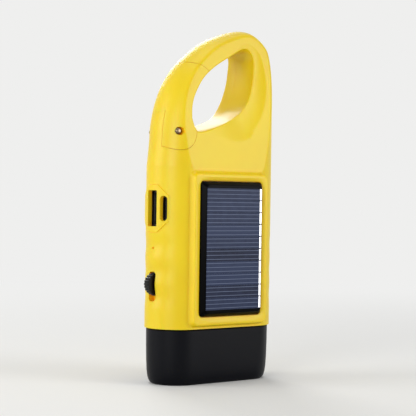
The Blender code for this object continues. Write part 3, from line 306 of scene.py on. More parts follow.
def yellowAbsMoulded():  # moulded ABS: a satin skin from a finely sparked tool, faint flow in its gloss
    material, tree, shader = newMaterial("yellowAbsMoulded")
    setLook(shader, IOR=1.53, Specular_IOR_Level=0.33, Subsurface_Weight=0.3, Subsurface_Scale=0.0022,
            Subsurface_Radius=(1.0, 0.42, 0.06))  # warm light through the plastic in its recesses
    where = objectPlace(tree)
    flow = speckle(tree, where, scale=55, detail=3)  # 18 mm drifts
    spark = speckle(tree, where, scale=2600, detail=2)  # 0.4 mm, drawn coarser
    recess = addNode(tree, "AmbientOcclusion", {"Distance": 0.0032}, samples=8)  # painted shade: seams and holes are tinted orange by how closed in they are
    deep = spread(tree, recess.outputs["AO"], 1, 0, start=0.3, end=0.9)
    # base colour: the yellow's drifts, turned towards the painted orange shade in closed-in places
    feed(tree, shader, Base_Color=mixed(tree, deep, twoTone(tree, flow, "#DEC00B", "#E2C60F"), linear("#FFB60E")),
         Roughness=spread(tree, flow, 0.35, 0.43), Normal=raised(tree, spark, strength=0.10, height=0.00004))
    return material


def plasticMoulded(name, darkHex, lightHex, roughLow, roughHigh, grit, strength, sheen=0.5):
    material, tree, shader = newMaterial(name)
    setLook(shader, IOR=1.53, Specular_IOR_Level=sheen)
    where = objectPlace(tree)
    flow, spark = speckle(tree, where, scale=70, detail=3), speckle(tree, where, grit, detail=2)
    feed(tree, shader, Base_Color=twoTone(tree, flow, darkHex, lightHex),
         Roughness=spread(tree, spark, roughLow, roughHigh), Normal=raised(tree, spark, strength, height=0.00005))
    return material


def metalWorked(name, darkHex, lightHex, roughLow, roughHigh, stretch, strength):  # lines of the tool that made it
    material, tree, shader = newMaterial(name)
    setLook(shader, Metallic=1.0)
    along = addNode(tree, "Mapping", {"Vector": objectPlace(tree), "Scale": stretch}).outputs["Vector"]
    lines = speckle(tree, along, scale=1500, detail=3)
    feed(tree, shader, Base_Color=twoTone(tree, lines, darkHex, lightHex, start=0.3, end=0.7),
         Roughness=spread(tree, lines, roughLow, roughHigh), Normal=raised(tree, lines, strength, height=0.00003))
    return material


cellLook = dict(low=0.02925, pitch=0.00471, finger=0.00157, line=(0.045, 0.075), flakes=420, flakeShare=0.35)


def siliconCells():  # cut silicon under clear epoxy: each cell a shade of its own, fine silver fingers
    material, tree, shader = newMaterial("siliconCells")
    setLook(shader, IOR=1.5, Roughness=0.30, Specular_IOR_Level=0.09)
    where = objectPlace(tree)
    height = maths(tree, "SUBTRACT", addNode(tree, "SeparateXYZ", {"Vector": where}).outputs["Z"], cellLook["low"])
    number = maths(tree, "FLOOR", maths(tree, "DIVIDE", height, cellLook["pitch"]))
    shade = addNode(tree, "TexWhiteNoise", {"W": number}, noise_dimensions="1D").outputs["Value"]
    flakes = addNode(tree, "TexVoronoi", {"Vector": where, "Scale": cellLook["flakes"]}).outputs["Distance"]
    both = maths(tree, "ADD", shade, spread(tree, flakes, 0, cellLook["flakeShare"]))
    tint = twoTone(tree, both, "#1A1E30", "#2F3852", start=0, end=1)
    wave = maths(tree, "FRACT", maths(tree, "DIVIDE", height, cellLook["finger"]))
    away = maths(tree, "ABSOLUTE", maths(tree, "SUBTRACT", wave, 0.5))
    line = spread(tree, away, 1, 0, *cellLook["line"])
    feed(tree, shader, Base_Color=mixed(tree, line, tint, linear("#616B84")))
    return material


def clearMoulded(name, hexText, roughness):  # moulded acrylic or cast epoxy, with a trace of the mould's polish
    material, tree, shader = newMaterial(name)
    setLook(shader, Transmission_Weight=1.0, IOR=1.49, Base_Color=linear(hexText))
    haze = speckle(tree, objectPlace(tree), scale=300, detail=2)
    feed(tree, shader, Roughness=spread(tree, haze, roughness, roughness + 0.05))
    return material


def boardLacquered():  # glass-epoxy board under green lacquer: woven ground and copper runs below it
    material, tree, shader = newMaterial("boardLacquered")
    setLook(shader, IOR=1.5, Roughness=0.32)
    runs = addNode(tree, "TexBrick", {"Vector": objectPlace(tree), "Scale": 180, "Mortar Size": 0.03,
                                      "Color1": linear("#0F4A28"), "Color2": linear("#125230"),
                                      "Mortar": linear("#2C7A45")})
    feed(tree, shader, Base_Color=runs.outputs["Color"],
         Normal=raised(tree, runs.outputs["Fac"], strength=0.3, height=0.00005))
    return material


# dark and light colour, least and most roughness; for plastics the grains to the metre, their strength and the
# sheen, for metals the stretch of the tool's lines along X, Y and Z and their strength
yellow = yellowAbsMoulded()
black = plasticMoulded("blackAbsMoulded", "#020308", "#04050B", 0.38, 0.46, 2400, 0.16, 0.10)
knobBlack = plasticMoulded("knobAbsMoulded", "#030304", "#050506", 0.28, 0.36, 2400, 0.12, 0.16)
epoxy = plasticMoulded("panelEpoxyCast", "#010102", "#030304", 0.20, 0.28, 900, 0.05, 0.03)
rubber = plasticMoulded("sealSiliconePressed", "#17171A", "#1D1D20", 0.65, 0.75, 1800, 0.2)
gearWhite = plasticMoulded("gearAcetalMoulded", "#D9D7CE", "#E2E0D8", 0.34, 0.44, 1500, 0.08)
tongueBlack = plasticMoulded("tongueNylonMoulded", "#18181B", "#202024", 0.45, 0.55, 2200, 0.12)
magnetGrey = plasticMoulded("magnetFerriteSintered", "#3A3A3D", "#454548", 0.5, 0.62, 1600, 0.2)
cells = siliconCells()
strip = metalWorked("busbarTinnedPrinted", "#F0F1F3", "#F8F9FA", 0.40, 0.50, (1, 1, 1), 0.1)
steel = metalWorked("screwSteelZincPlated", "#8E9195", "#A6A9AD", 0.24, 0.34, (1, 1, 1), 0.12)
pinSteel = metalWorked("pinSteelDrawn", "#86898D", "#A0A3A8", 0.22, 0.32, (1, 0.05, 1), 0.12)
# the gate pin's dark brown-gold is painted shade from its hole and a painted warm reflection of the yellow round it
pinPaintedWarmShade = metalWorked("pinSteelPaintedWarmShade", "#6B5C49", "#8A775E", 0.22, 0.32, (1, 0.05, 1), 0.12)
springSteel = metalWorked("springSteelDrawn", "#9A9CA0", "#B4B6BA", 0.22, 0.30, (1, 1, 0.2), 0.1)
canSteel = metalWorked("canSteelPressed", "#92959A", "#AEB1B6", 0.26, 0.36, (1, 0.1, 1), 0.1)
brass = metalWorked("bushingBrassTurned", "#B08A3C", "#C9A24E", 0.24, 0.34, (0.1, 1, 0.1), 0.15)
copper = metalWorked("coilCopperWound", "#A5572C", "#C8733D", 0.26, 0.36, (0.2, 6, 0.2), 0.5)
mirror = metalWorked("reflectorAluminised", "#D8DADE", "#E6E8EB", 0.05, 0.09, (1, 1, 1), 0.04)
foil = metalWorked("batteryFoilLaminated", "#A2A6AC", "#B9BDC3", 0.32, 0.44, (1, 1, 1), 0.2)
board = boardLacquered()
lensClear = clearMoulded("lensAcrylicMoulded", "#F6F9FC", 0.02)
lampClear = clearMoulded("lampEpoxyCast", "#EEF2F6", 0.06)
pipeAmber = plasticMoulded("indicatorAcrylicMoulded", "#C9940C", "#D8A414", 0.16, 0.24, 1500, 0.05, 0.3)
print("finishes ready")

nodeFinish = {
    yellow: ["main_housing", "gate", "back_cover", "crank_arm"],
    black: ["head_bezel", "crank_grip", "switch_body"], knobBlack: ["switch_slider"], epoxy: ["solar_panel"],
    cells: ["solar_cells"], strip: ["solar_busbar"], lensClear: ["front_lens"], rubber: ["lens_seal"],
    mirror: ["reflector"], board: ["lamp_board", "circuit_board"], lampClear: ["lamp_1", "lamp_2", "lamp_3"],
    foil: ["battery_cell"], canSteel: ["wide_socket", "small_socket", "stator_can"],
    tongueBlack: ["wide_socket_tongue", "small_socket_tongue"], pipeAmber: ["indicator_light_pipe"],
    gearWhite: ["gear_plate", "crank_gear", "idler_gear_1", "idler_gear_2", "rotor_pinion"],
    magnetGrey: ["rotor_magnet"], copper: ["stator_coil"], brass: ["crank_bushing"], springSteel: ["gate_spring"],
    pinSteel: ["gate_pin", "grip_pin", "idler_axle_1", "idler_axle_2", "rotor_shaft", "crank_shaft"],
}
finishOf = {name: material for material, names in nodeFinish.items() for name in names}
for name, node in nodes.items():
    node.material_slots[0].material = finishOf.get(name, steel)


# the body: a flattened tube with round sides, drawn out at the top into a loop
body = dict(halfWidth=0.0282, radius=0.01235, seam=0.0218, leanStart=0.083, top=0.140, tipDepth=0.0067,
            wall=0.002, parting=0.008, coverTop=0.086, gap=0.0003, edgeRound=0.0015, sideShare=0.7, edgeShare=0.3,
            edgeCreep=0.0003, rows=(0.025, 0.062, 0.066, 0.070, 0.074, 0.078), leanRows=(0.008, 0.016))
past = dict(side=0.0302, face=0.01435, floor=0.0198, pad=0.03065)  # where cutting tools end, clear of the body
waves = dict(pitch=0.010, depth=0.0006, top=0.059, count=3, row=0.0005, rows=61)
loopEdge = [
    (-1.0, 0.03), (-0.978, 0.13), (-0.963, 0.21), (-0.946, 0.321), (-0.882, 0.461), (-0.761, 0.602),
    (-0.55, 0.744), (-0.189, 0.886), (0.139, 0.96), (0.454, 1.0), (0.66, 0.98), (0.86, 0.904),
    (0.94, 0.81), (0.985, 0.66), (1.0, 0.5), (1.0, 0.3), (1.0, 0.15), (1.0, 0.03),
]
openingFront = [
    (-0.617, 0.377), (-0.599, 0.319), (-0.546, 0.267), (-0.461, 0.253), (-0.254, 0.277), (0.067, 0.332),
    (0.339, 0.405), (0.501, 0.5), (0.582, 0.618), (0.605, 0.732), (0.585, 0.811), (0.493, 0.865),
    (0.365, 0.874), (0.152, 0.821), (-0.156, 0.734), (-0.378, 0.644), (-0.528, 0.537), (-0.596, 0.456),
]
openingBack = [
    (-0.615, 0.379), (-0.598, 0.321), (-0.544, 0.27), (-0.457, 0.256), (-0.241, 0.282), (0.018, 0.316),
    (0.291, 0.379), (0.436, 0.489), (0.518, 0.618), (0.539, 0.732), (0.532, 0.814), (0.461, 0.863),
    (0.34, 0.87), (0.152, 0.818), (-0.152, 0.73), (-0.372, 0.64), (-0.521, 0.535), (-0.592, 0.456),
]
openingWall = dict(
    round=0.0011, power=3.2, flat=0.3, bend=0.7, past=1.3,
    shares=[1, 0.995, 0.98, 0.955, 0.925, 0.885, 0.835, 0.77, 0.68, 0.55, 0.35, 0],
    parting=[(0.3, 1), (0.33, 1), (0.345, 0.93), (0.36, 1)])  # the mould's fine parting line down the wall
radius, halfWidth, wall = body["radius"], body["halfWidth"], body["wall"]
sideAxis, innerRadius = halfWidth - radius, radius - wall


def halfDepth(height):  # how far the wide faces stand out: level below, leaning in along the loop
    lean = max(0.0, height - body["leanStart"]) / (body["top"] - body["leanStart"])
    return radius - lean * (radius - body["tipDepth"])


def waveDepth(height):
    below = waves["top"] - height
    if below < 0 or below > waves["count"] * waves["pitch"]:
        return 0.0
    return waves["depth"] * (1 - math.cos(2 * math.pi * below / waves["pitch"])) / 2


def loopPoints(shares, closed, steps):
    rise = body["top"] - body["leanStart"]
    return smoothCurve([(x * halfWidth, body["leanStart"] + z * rise) for x, z in shares], closed, steps)


def sidePoint(level, depth):  # inset and depth on the round side, with its soft corner to the leaning face
    soft, turn = body["edgeRound"], min(max((depth - body["edgeRound"]) / (radius - body["edgeRound"]), 0), 1)
    start, share = math.asin(turn), abs(level)
    if share <= body["sideShare"]:
        angle = start * share / body["sideShare"]
        return radius * (1 - math.cos(angle)), math.copysign(radius * math.sin(angle), level)
    part = (share - body["sideShare"]) / body["edgeShare"]
    angle = start + (math.pi / 2 - start) * part
    inset = radius - (radius - soft) * math.cos(start) - soft * math.cos(angle) + body["edgeCreep"] * part
    return inset, math.copysign(depth - soft + soft * math.sin(angle), level)


def bodySkin(name, wavy=True, levels=44):
    low, rise = body["leanStart"], body["top"] - body["leanStart"]
    heights = [body["seam"], low, *body["rows"]] + [low + share * rise for share in body["leanRows"]]
    heights = sorted(heights + [waves["top"] - waves["row"] * i for i in range(waves["rows"])])
    path = [(-halfWidth, z) for z in heights] + loopPoints(loopEdge, False, 7)
    path += [(halfWidth, z) for z in heights[::-1]]
    path = [(min(max(x, -halfWidth), halfWidth), min(z, body["top"])) for x, z in path]  # no swing past the ends
    normals = leftNormals(path, False)
    rings = []
    for k in range(levels + 1):
        level = 2 * k / levels - 1
        loop = []
        for (x, z), normal in zip(path, normals):
            at = z
            for _ in range(3):
                inset, depth = sidePoint(level, halfDepth(at))
                if wavy:
                    inset += waveDepth(z) * (1 - (depth / radius) ** 2) ** 2
                at = z - normal.y * inset
            loop.append((x - normal.x * inset, depth, at))
        rings.append(loop)
    fold = [i for i, point in enumerate(path) if point[1] == low]
    return stack(name, rings, fold=fold)


def openingTool():
    w = openingWall
    front, back = (loopPoints(shares, True, 6)[::-1] for shares in (openingFront, openingBack))
    frontNormals, backNormals = leftNormals(front, True), leftNormals(back, True)
    levels = [(w["past"], 0)]
    levels += [(w["flat"] + w["bend"] * s, (1 - s ** w["power"]) ** (1 / w["power"])) for s in w["shares"]]
    levels = [(-s, c) for s, c in levels] + levels[::-1]
    levels = sorted([pair for pair in levels if pair[0] != w["flat"]] + w["parting"])
    rings = []
    for share, inward in levels:
        blend = min(max((share + 1) / 2, 0), 1)
        loop = []
        for i in range(len(front)):
            edge = Vector(front[i]).lerp(Vector(back[i]), blend)
            edge -= frontNormals[i].lerp(backNormals[i], blend) * (w["round"] * inward)
            loop.append((edge.x, share * halfDepth(edge.y), edge.y))
        rings.append(loop)
    return stack("openingTool", rings)


def stadium(axis, size, steps=32):  # two half rounds on a common line
    return ring((axis, 0), size, -90, 90, steps) + ring((-axis, 0), size, 90, 270, steps)


def cavityTool():
    return slab("cavityTool", stadium(sideAxis, innerRadius), past["floor"], body["coverTop"], "Z")


def soften(piece, width, segments=3, limit=40):
    applyStep(piece, "BEVEL", width=width, segments=segments, limit_method="ANGLE", angle_limit=math.radians(limit),
              use_clamp_overlap=False)


# main housing, with the panel's frame, whose foot spreads further out below and above than at its sides
housing = dict(frameWidth=0.0365, frameLow=0.0232, frameTop=0.082, frameFace=0.0146, frameCorner=0.0021,
               frameSide=[(0.0007, -0.0113), (0.0007, -0.0119), (0.00046, -0.0123), (0.00026, -0.0127),
                          (0.00012, -0.0132), (0, -0.0138), (-0.00004, -0.0142), (-0.00016, -0.01443),
                          (-0.00032, -0.01455), (-0.00055, -0.0146)], frameFoot=(1.7, 2.4),
               panelWidth=0.0304, panelHeight=0.0522, panelCentre=0.0528, panelCorner=0.0015, panelGap=0.0003,
               pocketFloor=0.0126, pocketTop=0.0166, rimWidth=0.0013, rimDepth=0.0005)
# the raised eight-sided pad on the left side, with the large and the small port
port = dict(rise=0.00045, depth=-0.0005, centre=0.0682, width=0.0144, height=0.0184, reach=0.0092, chamfer=0.0042,
            edge=0.0003, wide=(0.0054, 0.0139), wideCorner=0.0004, wideFloor=-0.021025,
            small=(-0.0060, 0.0028, 0.0097))
# the knob's slot with a boss behind it, and the slit for the knob's stem
slot = dict(half=0.0023, low=0.0322, top=0.0437, corner=0.0017, floor=-0.0252, wall=0.0013, face=-0.0264,
            slit=(0.0011, 0.0351, 0.0407), slitReach=(0.002, 0.0033))
# the gate turns about this pin; seam and ear are the arcs where it parts from the body
gatePin = dict(x=-0.0224, z=0.0980, radius=0.0013, ear=0.0072, seam=0.0283, seamTurn=(86, 50), roundTurn=(22, -165),
               knuckle=0.0084, knuckleHalf=0.0037, gap=0.00014, mouth=0.0016, reach=0.0086, pinEnd=0.0095, opening=22,
               swing=(26, -6), swingReach=-0.0125, swingHalf=0.0103, pinGap=0.0001, knuckleGap=0.00003, dome=0.0008)
springRoom = dict(radius=0.0031, half=0.0021, right=0.0066, top=0.0104, foot=0.0071, leg=(0.0016, 0.0032),
                  legTop=0.0098)
# each post and its hole: radius, where it starts and ends, and sides
posts = dict(
    housingScrew=((0.0028, -0.01135, 0.008, 32), (0.00115, 0.0009, 0.010, 24)),
    circuitBoard=((0.0020, -0.01135, -0.0047, 24), (0.00075, -0.0087, -0.0027, 16)),
    coverScrew=((0.0028, 0.0083, 0.01135, 32), (0.0014, 0.0063, 0.01435, 24)),
    gearPlate=((0.0030, 0.00275, 0.01135, 32), (0.00075, 0.00075, 0.00675, 16)),
    axle=((0.0026, 0.00905, 0.01135, 32), (0.00105, 0.00705, 0.01085, 24)))
coverScrews = [(x, z) for z in (0.0285, 0.0815) for x in (-0.0145, 0.0145)]
boardScrews = [(-0.0170, z) for z in (0.0340, 0.0766)]
plateScrews = [(-0.0152, 0.0375), (0.019, 0.052), (0.003, 0.0818), (-0.004, 0.0325)]
axles = [(-0.0084, 0.04995077), (0.00247569, 0.04487935)]
crankAxle = (0, 0.0645)
hinge = (gatePin["x"], gatePin["z"])


def addPost(piece, centre, kind):
    post, hole = posts[kind]
    drill(piece, centre, *post, how="UNION")
    drill(piece, centre, *hole)


def panelShape(out):
    w, h, mid = housing["panelWidth"] / 2 + out, housing["panelHeight"] / 2 + out, housing["panelCentre"]
    return roundedBox(-w, w, mid - h, mid + h, housing["panelCorner"] + max(out, 0), 10)


def frameShape(out):
    h, half = housing, housing["frameWidth"] / 2 + out
    below, above = (foot * out for foot in h["frameFoot"])
    return roundedBox(-half, half, h["frameLow"] - below, h["frameTop"] + above, h["frameCorner"] + out, 10)


def portShape(inset, corner):
    mid, centre = port["depth"], port["centre"]
    wide, tall = (size / 2 - inset for size in port["wide"])
    return roundedBox(mid - wide, mid + wide, centre - tall, centre + tall, corner, 4)


def roundSlot(depth, width, height):
    mid, reach = port["centre"], (height - width) / 2
    return ring((depth, mid + reach), width / 2, 0, 180, 16) + ring((depth, mid - reach), width / 2, 180, 360, 16)


def gateZone(name, gap):
    seam = ring(hinge, gatePin["seam"] + gap, *gatePin["seamTurn"], 30)
    ear = ring(hinge, gatePin["ear"] + gap, *gatePin["roundTurn"], 48)
    outline = seam + ear + [(-past["side"], ear[-1][1]), (-past["side"], seam[0][1])]
    return slab(name, outline, -past["face"], past["face"], "Y")


def knuckleRound(gap, roundGap):
    reach = gatePin["knuckleHalf"] + gap
    return slab("knuckleRound", disc(hinge, gatePin["knuckle"] + roundGap, 96), -reach, reach, "Y")


dish = dict(centre=(0.001, 0.113), starts=(-128, -46), ends=(10, 75), width=0.0083, widen=0.000044, middle=39,
            least=0.001, depth=0.0021, lip=0.0003, within=-0.0006, roof=0.0143, lift=0.00002,
            steps=((1, None), (1, 0), (0.8, 0.3), (0.6, 0.55), (0.4, 0.75), (0.2, 0.9), (0, 1), (None, 1)))


def eased(value, low, high):  # 0 to 1 without a corner
    share = min(max((value - low) / (high - low), 0), 1)
    return share * share * (3 - 2 * share)


def dishTool():  # the face falls away a little towards the opening's lower right edge
    d = dish
    front = loopPoints(openingFront, True, 6)[::-1]
    normals = leftNormals(front, True)
    turns = [math.degrees(math.atan2(z - d["centre"][1], x - d["centre"][0])) for x, z in front]
    weights = [eased(turn, *d["starts"]) * eased(-turn, -d["ends"][1], -d["ends"][0]) for turn in turns]
    widths = [max(d["least"], d["width"] - d["widen"] * (turn + d["middle"])) for turn in turns]
    rings = []
    for out, drop in d["steps"]:
        loop = []
        for point, normal, weight, width in zip(front, normals, weights, widths):
            reach = d["within"] if out is None else out * (d["lip"] + width * math.sqrt(weight))
            spot = Vector(point) + normal * reach
            depth = d["roof"] if drop is None else halfDepth(spot.y) - d["depth"] * weight * drop + d["lift"]
            loop.append((spot.x, -depth, spot.y))
        rings.append(loop)
    return stack("dishTool", rings)


def portPad():
    p, c, centre = port, port["chamfer"], port["centre"]
    pad = slab("pad", stadium(sideAxis, radius + p["rise"], 60), centre - p["reach"], centre + p["reach"], "Z")
    low, high = p["depth"] - p["width"] / 2, p["depth"] + p["width"] / 2
    bottom, top = centre - p["height"] / 2, centre + p["height"] / 2
    eight = [(low + c, bottom), (high - c, bottom), (high, bottom + c), (high, top - c), (high - c, top),
             (low + c, top), (low, top - c), (low, bottom + c)]
    carve(pad, slab("octagon", eight, -past["side"], -sideAxis, "X"), "INTERSECT")
    soften(pad, p["edge"], 3, 50)
    return pad


evenFace = dict(heights=[0.0845 + 0.002 * i for i in range(8)], places=[-0.0125 + 0.0025 * i for i in range(11)])


def crossCut(piece):  # rows of points across the large face, so that its shading stays even beside the dish
    shape = bmesh.new()
    shape.from_mesh(piece.data)
    cuts = [((0, 0, z), (0, 0, 1)) for z in evenFace["heights"]]
    cuts += [((x, 0, 0), (1, 0, 0)) for x in evenFace["places"]]
    for place, normal in cuts:
        everything = [*shape.verts, *shape.edges, *shape.faces]
        bmesh.ops.bisect_plane(shape, geom=everything, plane_co=place, plane_no=normal)
    shape.to_mesh(piece.data)
    shape.free()


def cutPanelSeat(shell):  # the pocket of the panel, and the frame's inner bevel
    h = housing
    inner, outer = panelShape(h["panelGap"]), panelShape(h["panelGap"] + h["rimWidth"])
    carve(shell, slab("pocket", inner, -h["pocketTop"], -h["pocketFloor"], "Y"))
    levels = (inner, -h["frameFace"] + h["rimDepth"]), (outer, -h["frameFace"]), (outer, -h["pocketTop"])
    carve(shell, layered("rimBevel", levels, "Y"))


def cutSwitchSlot(shell):
    s, half, wall = slot, slot["half"], slot["wall"]
    carve(shell, brick("switchBoss", (s["face"], -half - wall, s["low"] - wall),
                       (s["floor"] + wall, half + wall, s["top"] + wall)), "UNION")
    outline = roundedBox(-half, half, s["low"], s["top"], s["corner"])
    carve(shell, slab("slot", outline, -past["side"], s["floor"], "X"))
    thin, low, top = s["slit"]
    outer, inner = s["slitReach"]
    carve(shell, brick("stemSlit", (s["floor"] - outer, -thin, low), (s["floor"] + inner, thin, top)))


def cutPorts(shell):
    p = port
    carve(shell, slab("widePort", portShape(0, p["wideCorner"]), -past["pad"], p["wideFloor"], "X"))
    carve(shell, slab("smallPort", roundSlot(*p["small"]), -past["pad"], -sideAxis, "X"))
    drill(shell, (p["depth"], lightPipe["height"]), lightPipe["hole"], -past["pad"], p["wideFloor"], 24, "X")


def cutGateRoom(shell):
    x, z = hinge
    s, half = springRoom, springRoom["half"]
    drill(shell, hinge, gatePin["radius"] + gatePin["pinGap"], -past["face"], past["face"], 48)
    spring = slab("springRoom", disc(hinge, s["radius"], 48), -half, half, "Y")
    carve(spring, brick("springTop", (x, -half, z), (x + s["right"], half, z + s["top"])), "UNION")
    carve(spring, brick("springFoot", (x + s["leg"][0], -half, z - s["foot"]), (x + s["leg"][1], half, z)), "UNION")
    carve(shell, spring)
    room = gateZone("gateRoom", gatePin["gap"])
    carve(room, knuckleRound(0, 0))
    carve(shell, room)


# the indicator's amber pipe, and the hole that it looks out of
lightPipe = dict(height=0.0529, radius=0.00046, hole=0.0005, front=-0.0271, back=-0.0234, edge=0.0001)


def buildHousing():
    shell = bodySkin("housingShell")
    carve(shell, layered("frame", [(frameShape(out), level) for out, level in housing["frameSide"]], "Y"), "UNION")
    carve(shell, portPad(), "UNION")
    for tool in (dishTool, openingTool, cavityTool):
        carve(shell, tool())
    carve(shell, brick("coverRoom", (-past["side"], body["parting"], past["floor"]),
                       (past["side"], past["face"], body["coverTop"])))
    cutPanelSeat(shell)
    for centre in coverScrews:
        addPost(shell, centre, "housingScrew")
    for centre in boardScrews:
        addPost(shell, centre, "circuitBoard")
    cutSwitchSlot(shell)
    cutPorts(shell)
    cutGateRoom(shell)
    crossCut(shell)
    outwards(shell)
    return settle(shell, yellow, "housing", "yellow_abs", "main_housing")


def swungBack(points):  # room that the open gate needs at the body's edge, turned back to the shut gate
    turn = math.radians(gatePin["opening"])
    x, z = hinge
    return [(x + (a - x) * math.cos(turn) - (b - z) * math.sin(turn),
             z + (a - x) * math.sin(turn) + (b - z) * math.cos(turn)) for a, b in points]


def buildGate():
    g, half = gatePin, springRoom["half"]
    gate = bodySkin("gateShell", False)
    carve(gate, openingTool())
    carve(gate, gateZone("gateKeep", 0), "INTERSECT")
    carve(gate, knuckleRound(g["gap"], g["knuckleGap"]))
    drill(gate, hinge, g["radius"] + g["pinGap"], -past["face"], past["face"], 48)
    drill(gate, hinge, g["mouth"], -past["face"], -g["reach"], 48)
    drill(gate, hinge, g["mouth"], g["reach"], past["face"], 48)
    arc = ring(hinge, g["ear"], *g["swing"], 12)
    corners = [(g["swingReach"], arc[-1][1]), (g["swingReach"], arc[0][1])]
    carve(gate, slab("swingRoom", swungBack(arc + corners), -g["swingHalf"], g["swingHalf"], "Y"))
    x, z = hinge
    near, far = springRoom["leg"]
    carve(gate, brick("legSlot", (x + near, -half, z), (x + far, half, z + springRoom["legTop"])))
    outwards(gate)
    return settle(gate, yellow, "gate", "yellow_abs", "gate")


# collars: their wall, the gap round them and how deep they begin and end
collars = dict(wall=0.0004, gap=0.00004, floor=0.001, wideDepth=0.0020, smallDepth=0.0008, wideEnd=-0.0260,
               smallEnd=-0.02555, corners=(0.00036, 0.0002))


def buildPaintedShadeCollars():  # painted shade: black collars a little way down the two port openings, a dark lining that stands in for the shade deep in the ports
    c, w, g = collars, collars["wall"], 2 * collars["gap"]
    front = -(sideAxis + radius + port["rise"])
    outer, inner = c["corners"]
    seat = slab("wideCollar", portShape(c["gap"], outer), front + c["wideDepth"], c["wideEnd"], "X")
    carve(seat, slab("room", portShape(c["gap"] + w, inner), front, c["wideEnd"] + c["floor"], "X"))
    settle(seat, black, "housing", "black_abs", weighted=False)
    depth, width, height = port["small"]
    front += radius - math.sqrt(radius ** 2 - depth ** 2)
    seat = slab("smallCollar", roundSlot(depth, width - g, height - g), front + c["smallDepth"], c["smallEnd"], "X")
    room = roundSlot(depth, width - g - 2 * w, height - g - 2 * w)
    carve(seat, slab("room", room, front, c["smallEnd"] + c["floor"], "X"))
    settle(seat, black, "housing", "black_abs", weighted=False)


cover = dict(plane=0.0083, seat=(0.0025, 0.01055), bushing=(0.00425, 0.0))


def buildCover():
    lid = bodySkin("coverShell")
    carve(lid, brick("coverKeep", (-past["side"], cover["plane"], body["seam"]),
                     (past["side"], past["face"], body["coverTop"] - body["gap"])), "INTERSECT")
    carve(lid, cavityTool())
    for centre in coverScrews:
        addPost(lid, centre, "coverScrew")
        drill(lid, centre, *cover["seat"], past["face"], 48)
    for centre in plateScrews:
        addPost(lid, centre, "gearPlate")
    for centre in axles:
        addPost(lid, centre, "axle")
    drill(lid, crankAxle, *cover["bushing"], past["face"], 64)
    return settle(lid, yellow, "housing", "yellow_abs", "back_cover")


# black head: a turned-in rim, and a collar that the body stands on
head = dict(inset=0.0007, rim=[(0.0, 0.0030), (0.0004, 0.00245), (0.0010, 0.0020), (0.0020, 0.0016),
                               (0.0034, 0.00132), (0.0052, 0.0011), (0.009, 0.0009), (0.015, 0.00076)],
            edge=0.0003, shoulder=0.0215, collar=0.0249, collarInset=0.0023, window=0.0046, windowDepth=0.0016,
            flare=0.0006, bore=0.0033, below=-0.002, above=0.0269)


def headSkin(name, rings):  # insets and heights of the head's outline
    return layered(name, [(stadium(sideAxis, radius - inset), height) for inset, height in rings], "Z")


def buildHead():
    h = head
    w, shoulder = h["window"], h["shoulder"]
    rings = [(inset, height) for height, inset in h["rim"]]
    rings += [(h["inset"], shoulder - h["edge"]), (h["inset"] + h["edge"], shoulder),
              (h["collarInset"], shoulder), (h["collarInset"], h["collar"])]
    bezel = headSkin("headShell", rings)
    carve(bezel, headSkin("inside", [(w - h["flare"], h["below"]), (w - h["flare"], 0.0), (w, h["flare"]),
                                     (w, h["windowDepth"]), (h["bore"], h["windowDepth"]), (h["bore"], h["above"])]))
    return settle(bezel, black, "housing", "black_abs", "head_bezel")


buildHousing()
buildGate()
buildPaintedShadeCollars()
buildCover()
buildHead()
print("shells built")


# hand tools: a primitive opened for editing, and its faces, edges or points picked by a test

def startPiece(name):
    piece = bpy.context.object
    piece.name = piece.data.name = name
    bpy.ops.object.transform_apply(location=True, rotation=True, scale=True)
    bpy.ops.object.mode_set(mode="EDIT")
    bpy.ops.mesh.select_all(action="DESELECT")
    return piece


def choose(piece, kind, test):
    bpy.ops.mesh.select_mode(type=kind)
    bpy.ops.mesh.select_all(action="DESELECT")
    shape = bmesh.from_edit_mesh(piece.data)
    for item in {"VERT": shape.verts, "EDGE": shape.edges, "FACE": shape.faces}[kind]:
        item.select_set(test(item))
    shape.select_flush_mode()
    bmesh.update_edit_mesh(piece.data)


def endEdit(piece):
    bpy.ops.mesh.select_all(action="SELECT")
    bpy.ops.mesh.remove_doubles(threshold=hair)
    bpy.ops.mesh.normals_make_consistent(inside=False)
    bpy.ops.object.mode_set(mode="OBJECT")
    return piece


def boxPiece(name, low, high):
    centre, size = (Vector(low) + Vector(high)) / 2, Vector(high) - Vector(low)
    deselectAll()
    bpy.ops.mesh.primitive_cube_add(size=1, location=centre, scale=size)
    return startPiece(name)


def roundPiece(name, centre, low, high, size, axis, sides=64):
    deselectAll()
    turn = {"X": (0, math.pi / 2, 0), "Y": (-math.pi / 2, 0, 0), "Z": (0, 0, 0)}[axis]
    bpy.ops.mesh.primitive_cylinder_add(vertices=sides, radius=size, depth=high - low, rotation=turn,
                                        location=put(*centre, (low + high) / 2, axis))
    return startPiece(name)


def edgeAlong(edge, axis):
    along = edge.verts[1].co - edge.verts[0].co
    return abs(along["XYZ".index(axis)]) > 0.99 * along.length


def sharp(edge):  # a corner of more than a radian
    return len(edge.link_faces) == 2 and edge.calc_face_angle() > 1.0


def bevelEdges(piece, test, width, segments):
    choose(piece, "EDGE", test)
    bpy.ops.mesh.bevel(offset=width, segments=segments, affect="EDGES")


def joined(pieces, name):
    pick(pieces[0])
    for piece in pieces:
        piece.select_set(True)
    bpy.ops.object.join()
    pieces[0].name = pieces[0].data.name = name
    return pieces[0]


# switch knob: a half disc with fine ribs round its rim, on a sliding plate and its stem
knob = dict(radius=0.00446, centre=(-0.0260, 0.0389), half=0.0015, flat=-0.0255, ribs=12, ribDepth=0.00026, steps=192,
            edge=0.00014, plate=(-0.0271, -0.0254, 0.0019, 0.0344, 0.0434, 0.0015), plateEdge=0.0002,
            stem=(-0.0258, -0.0229, 0.0008, 0.0374, 0.0404), stemEdge=0.0002)


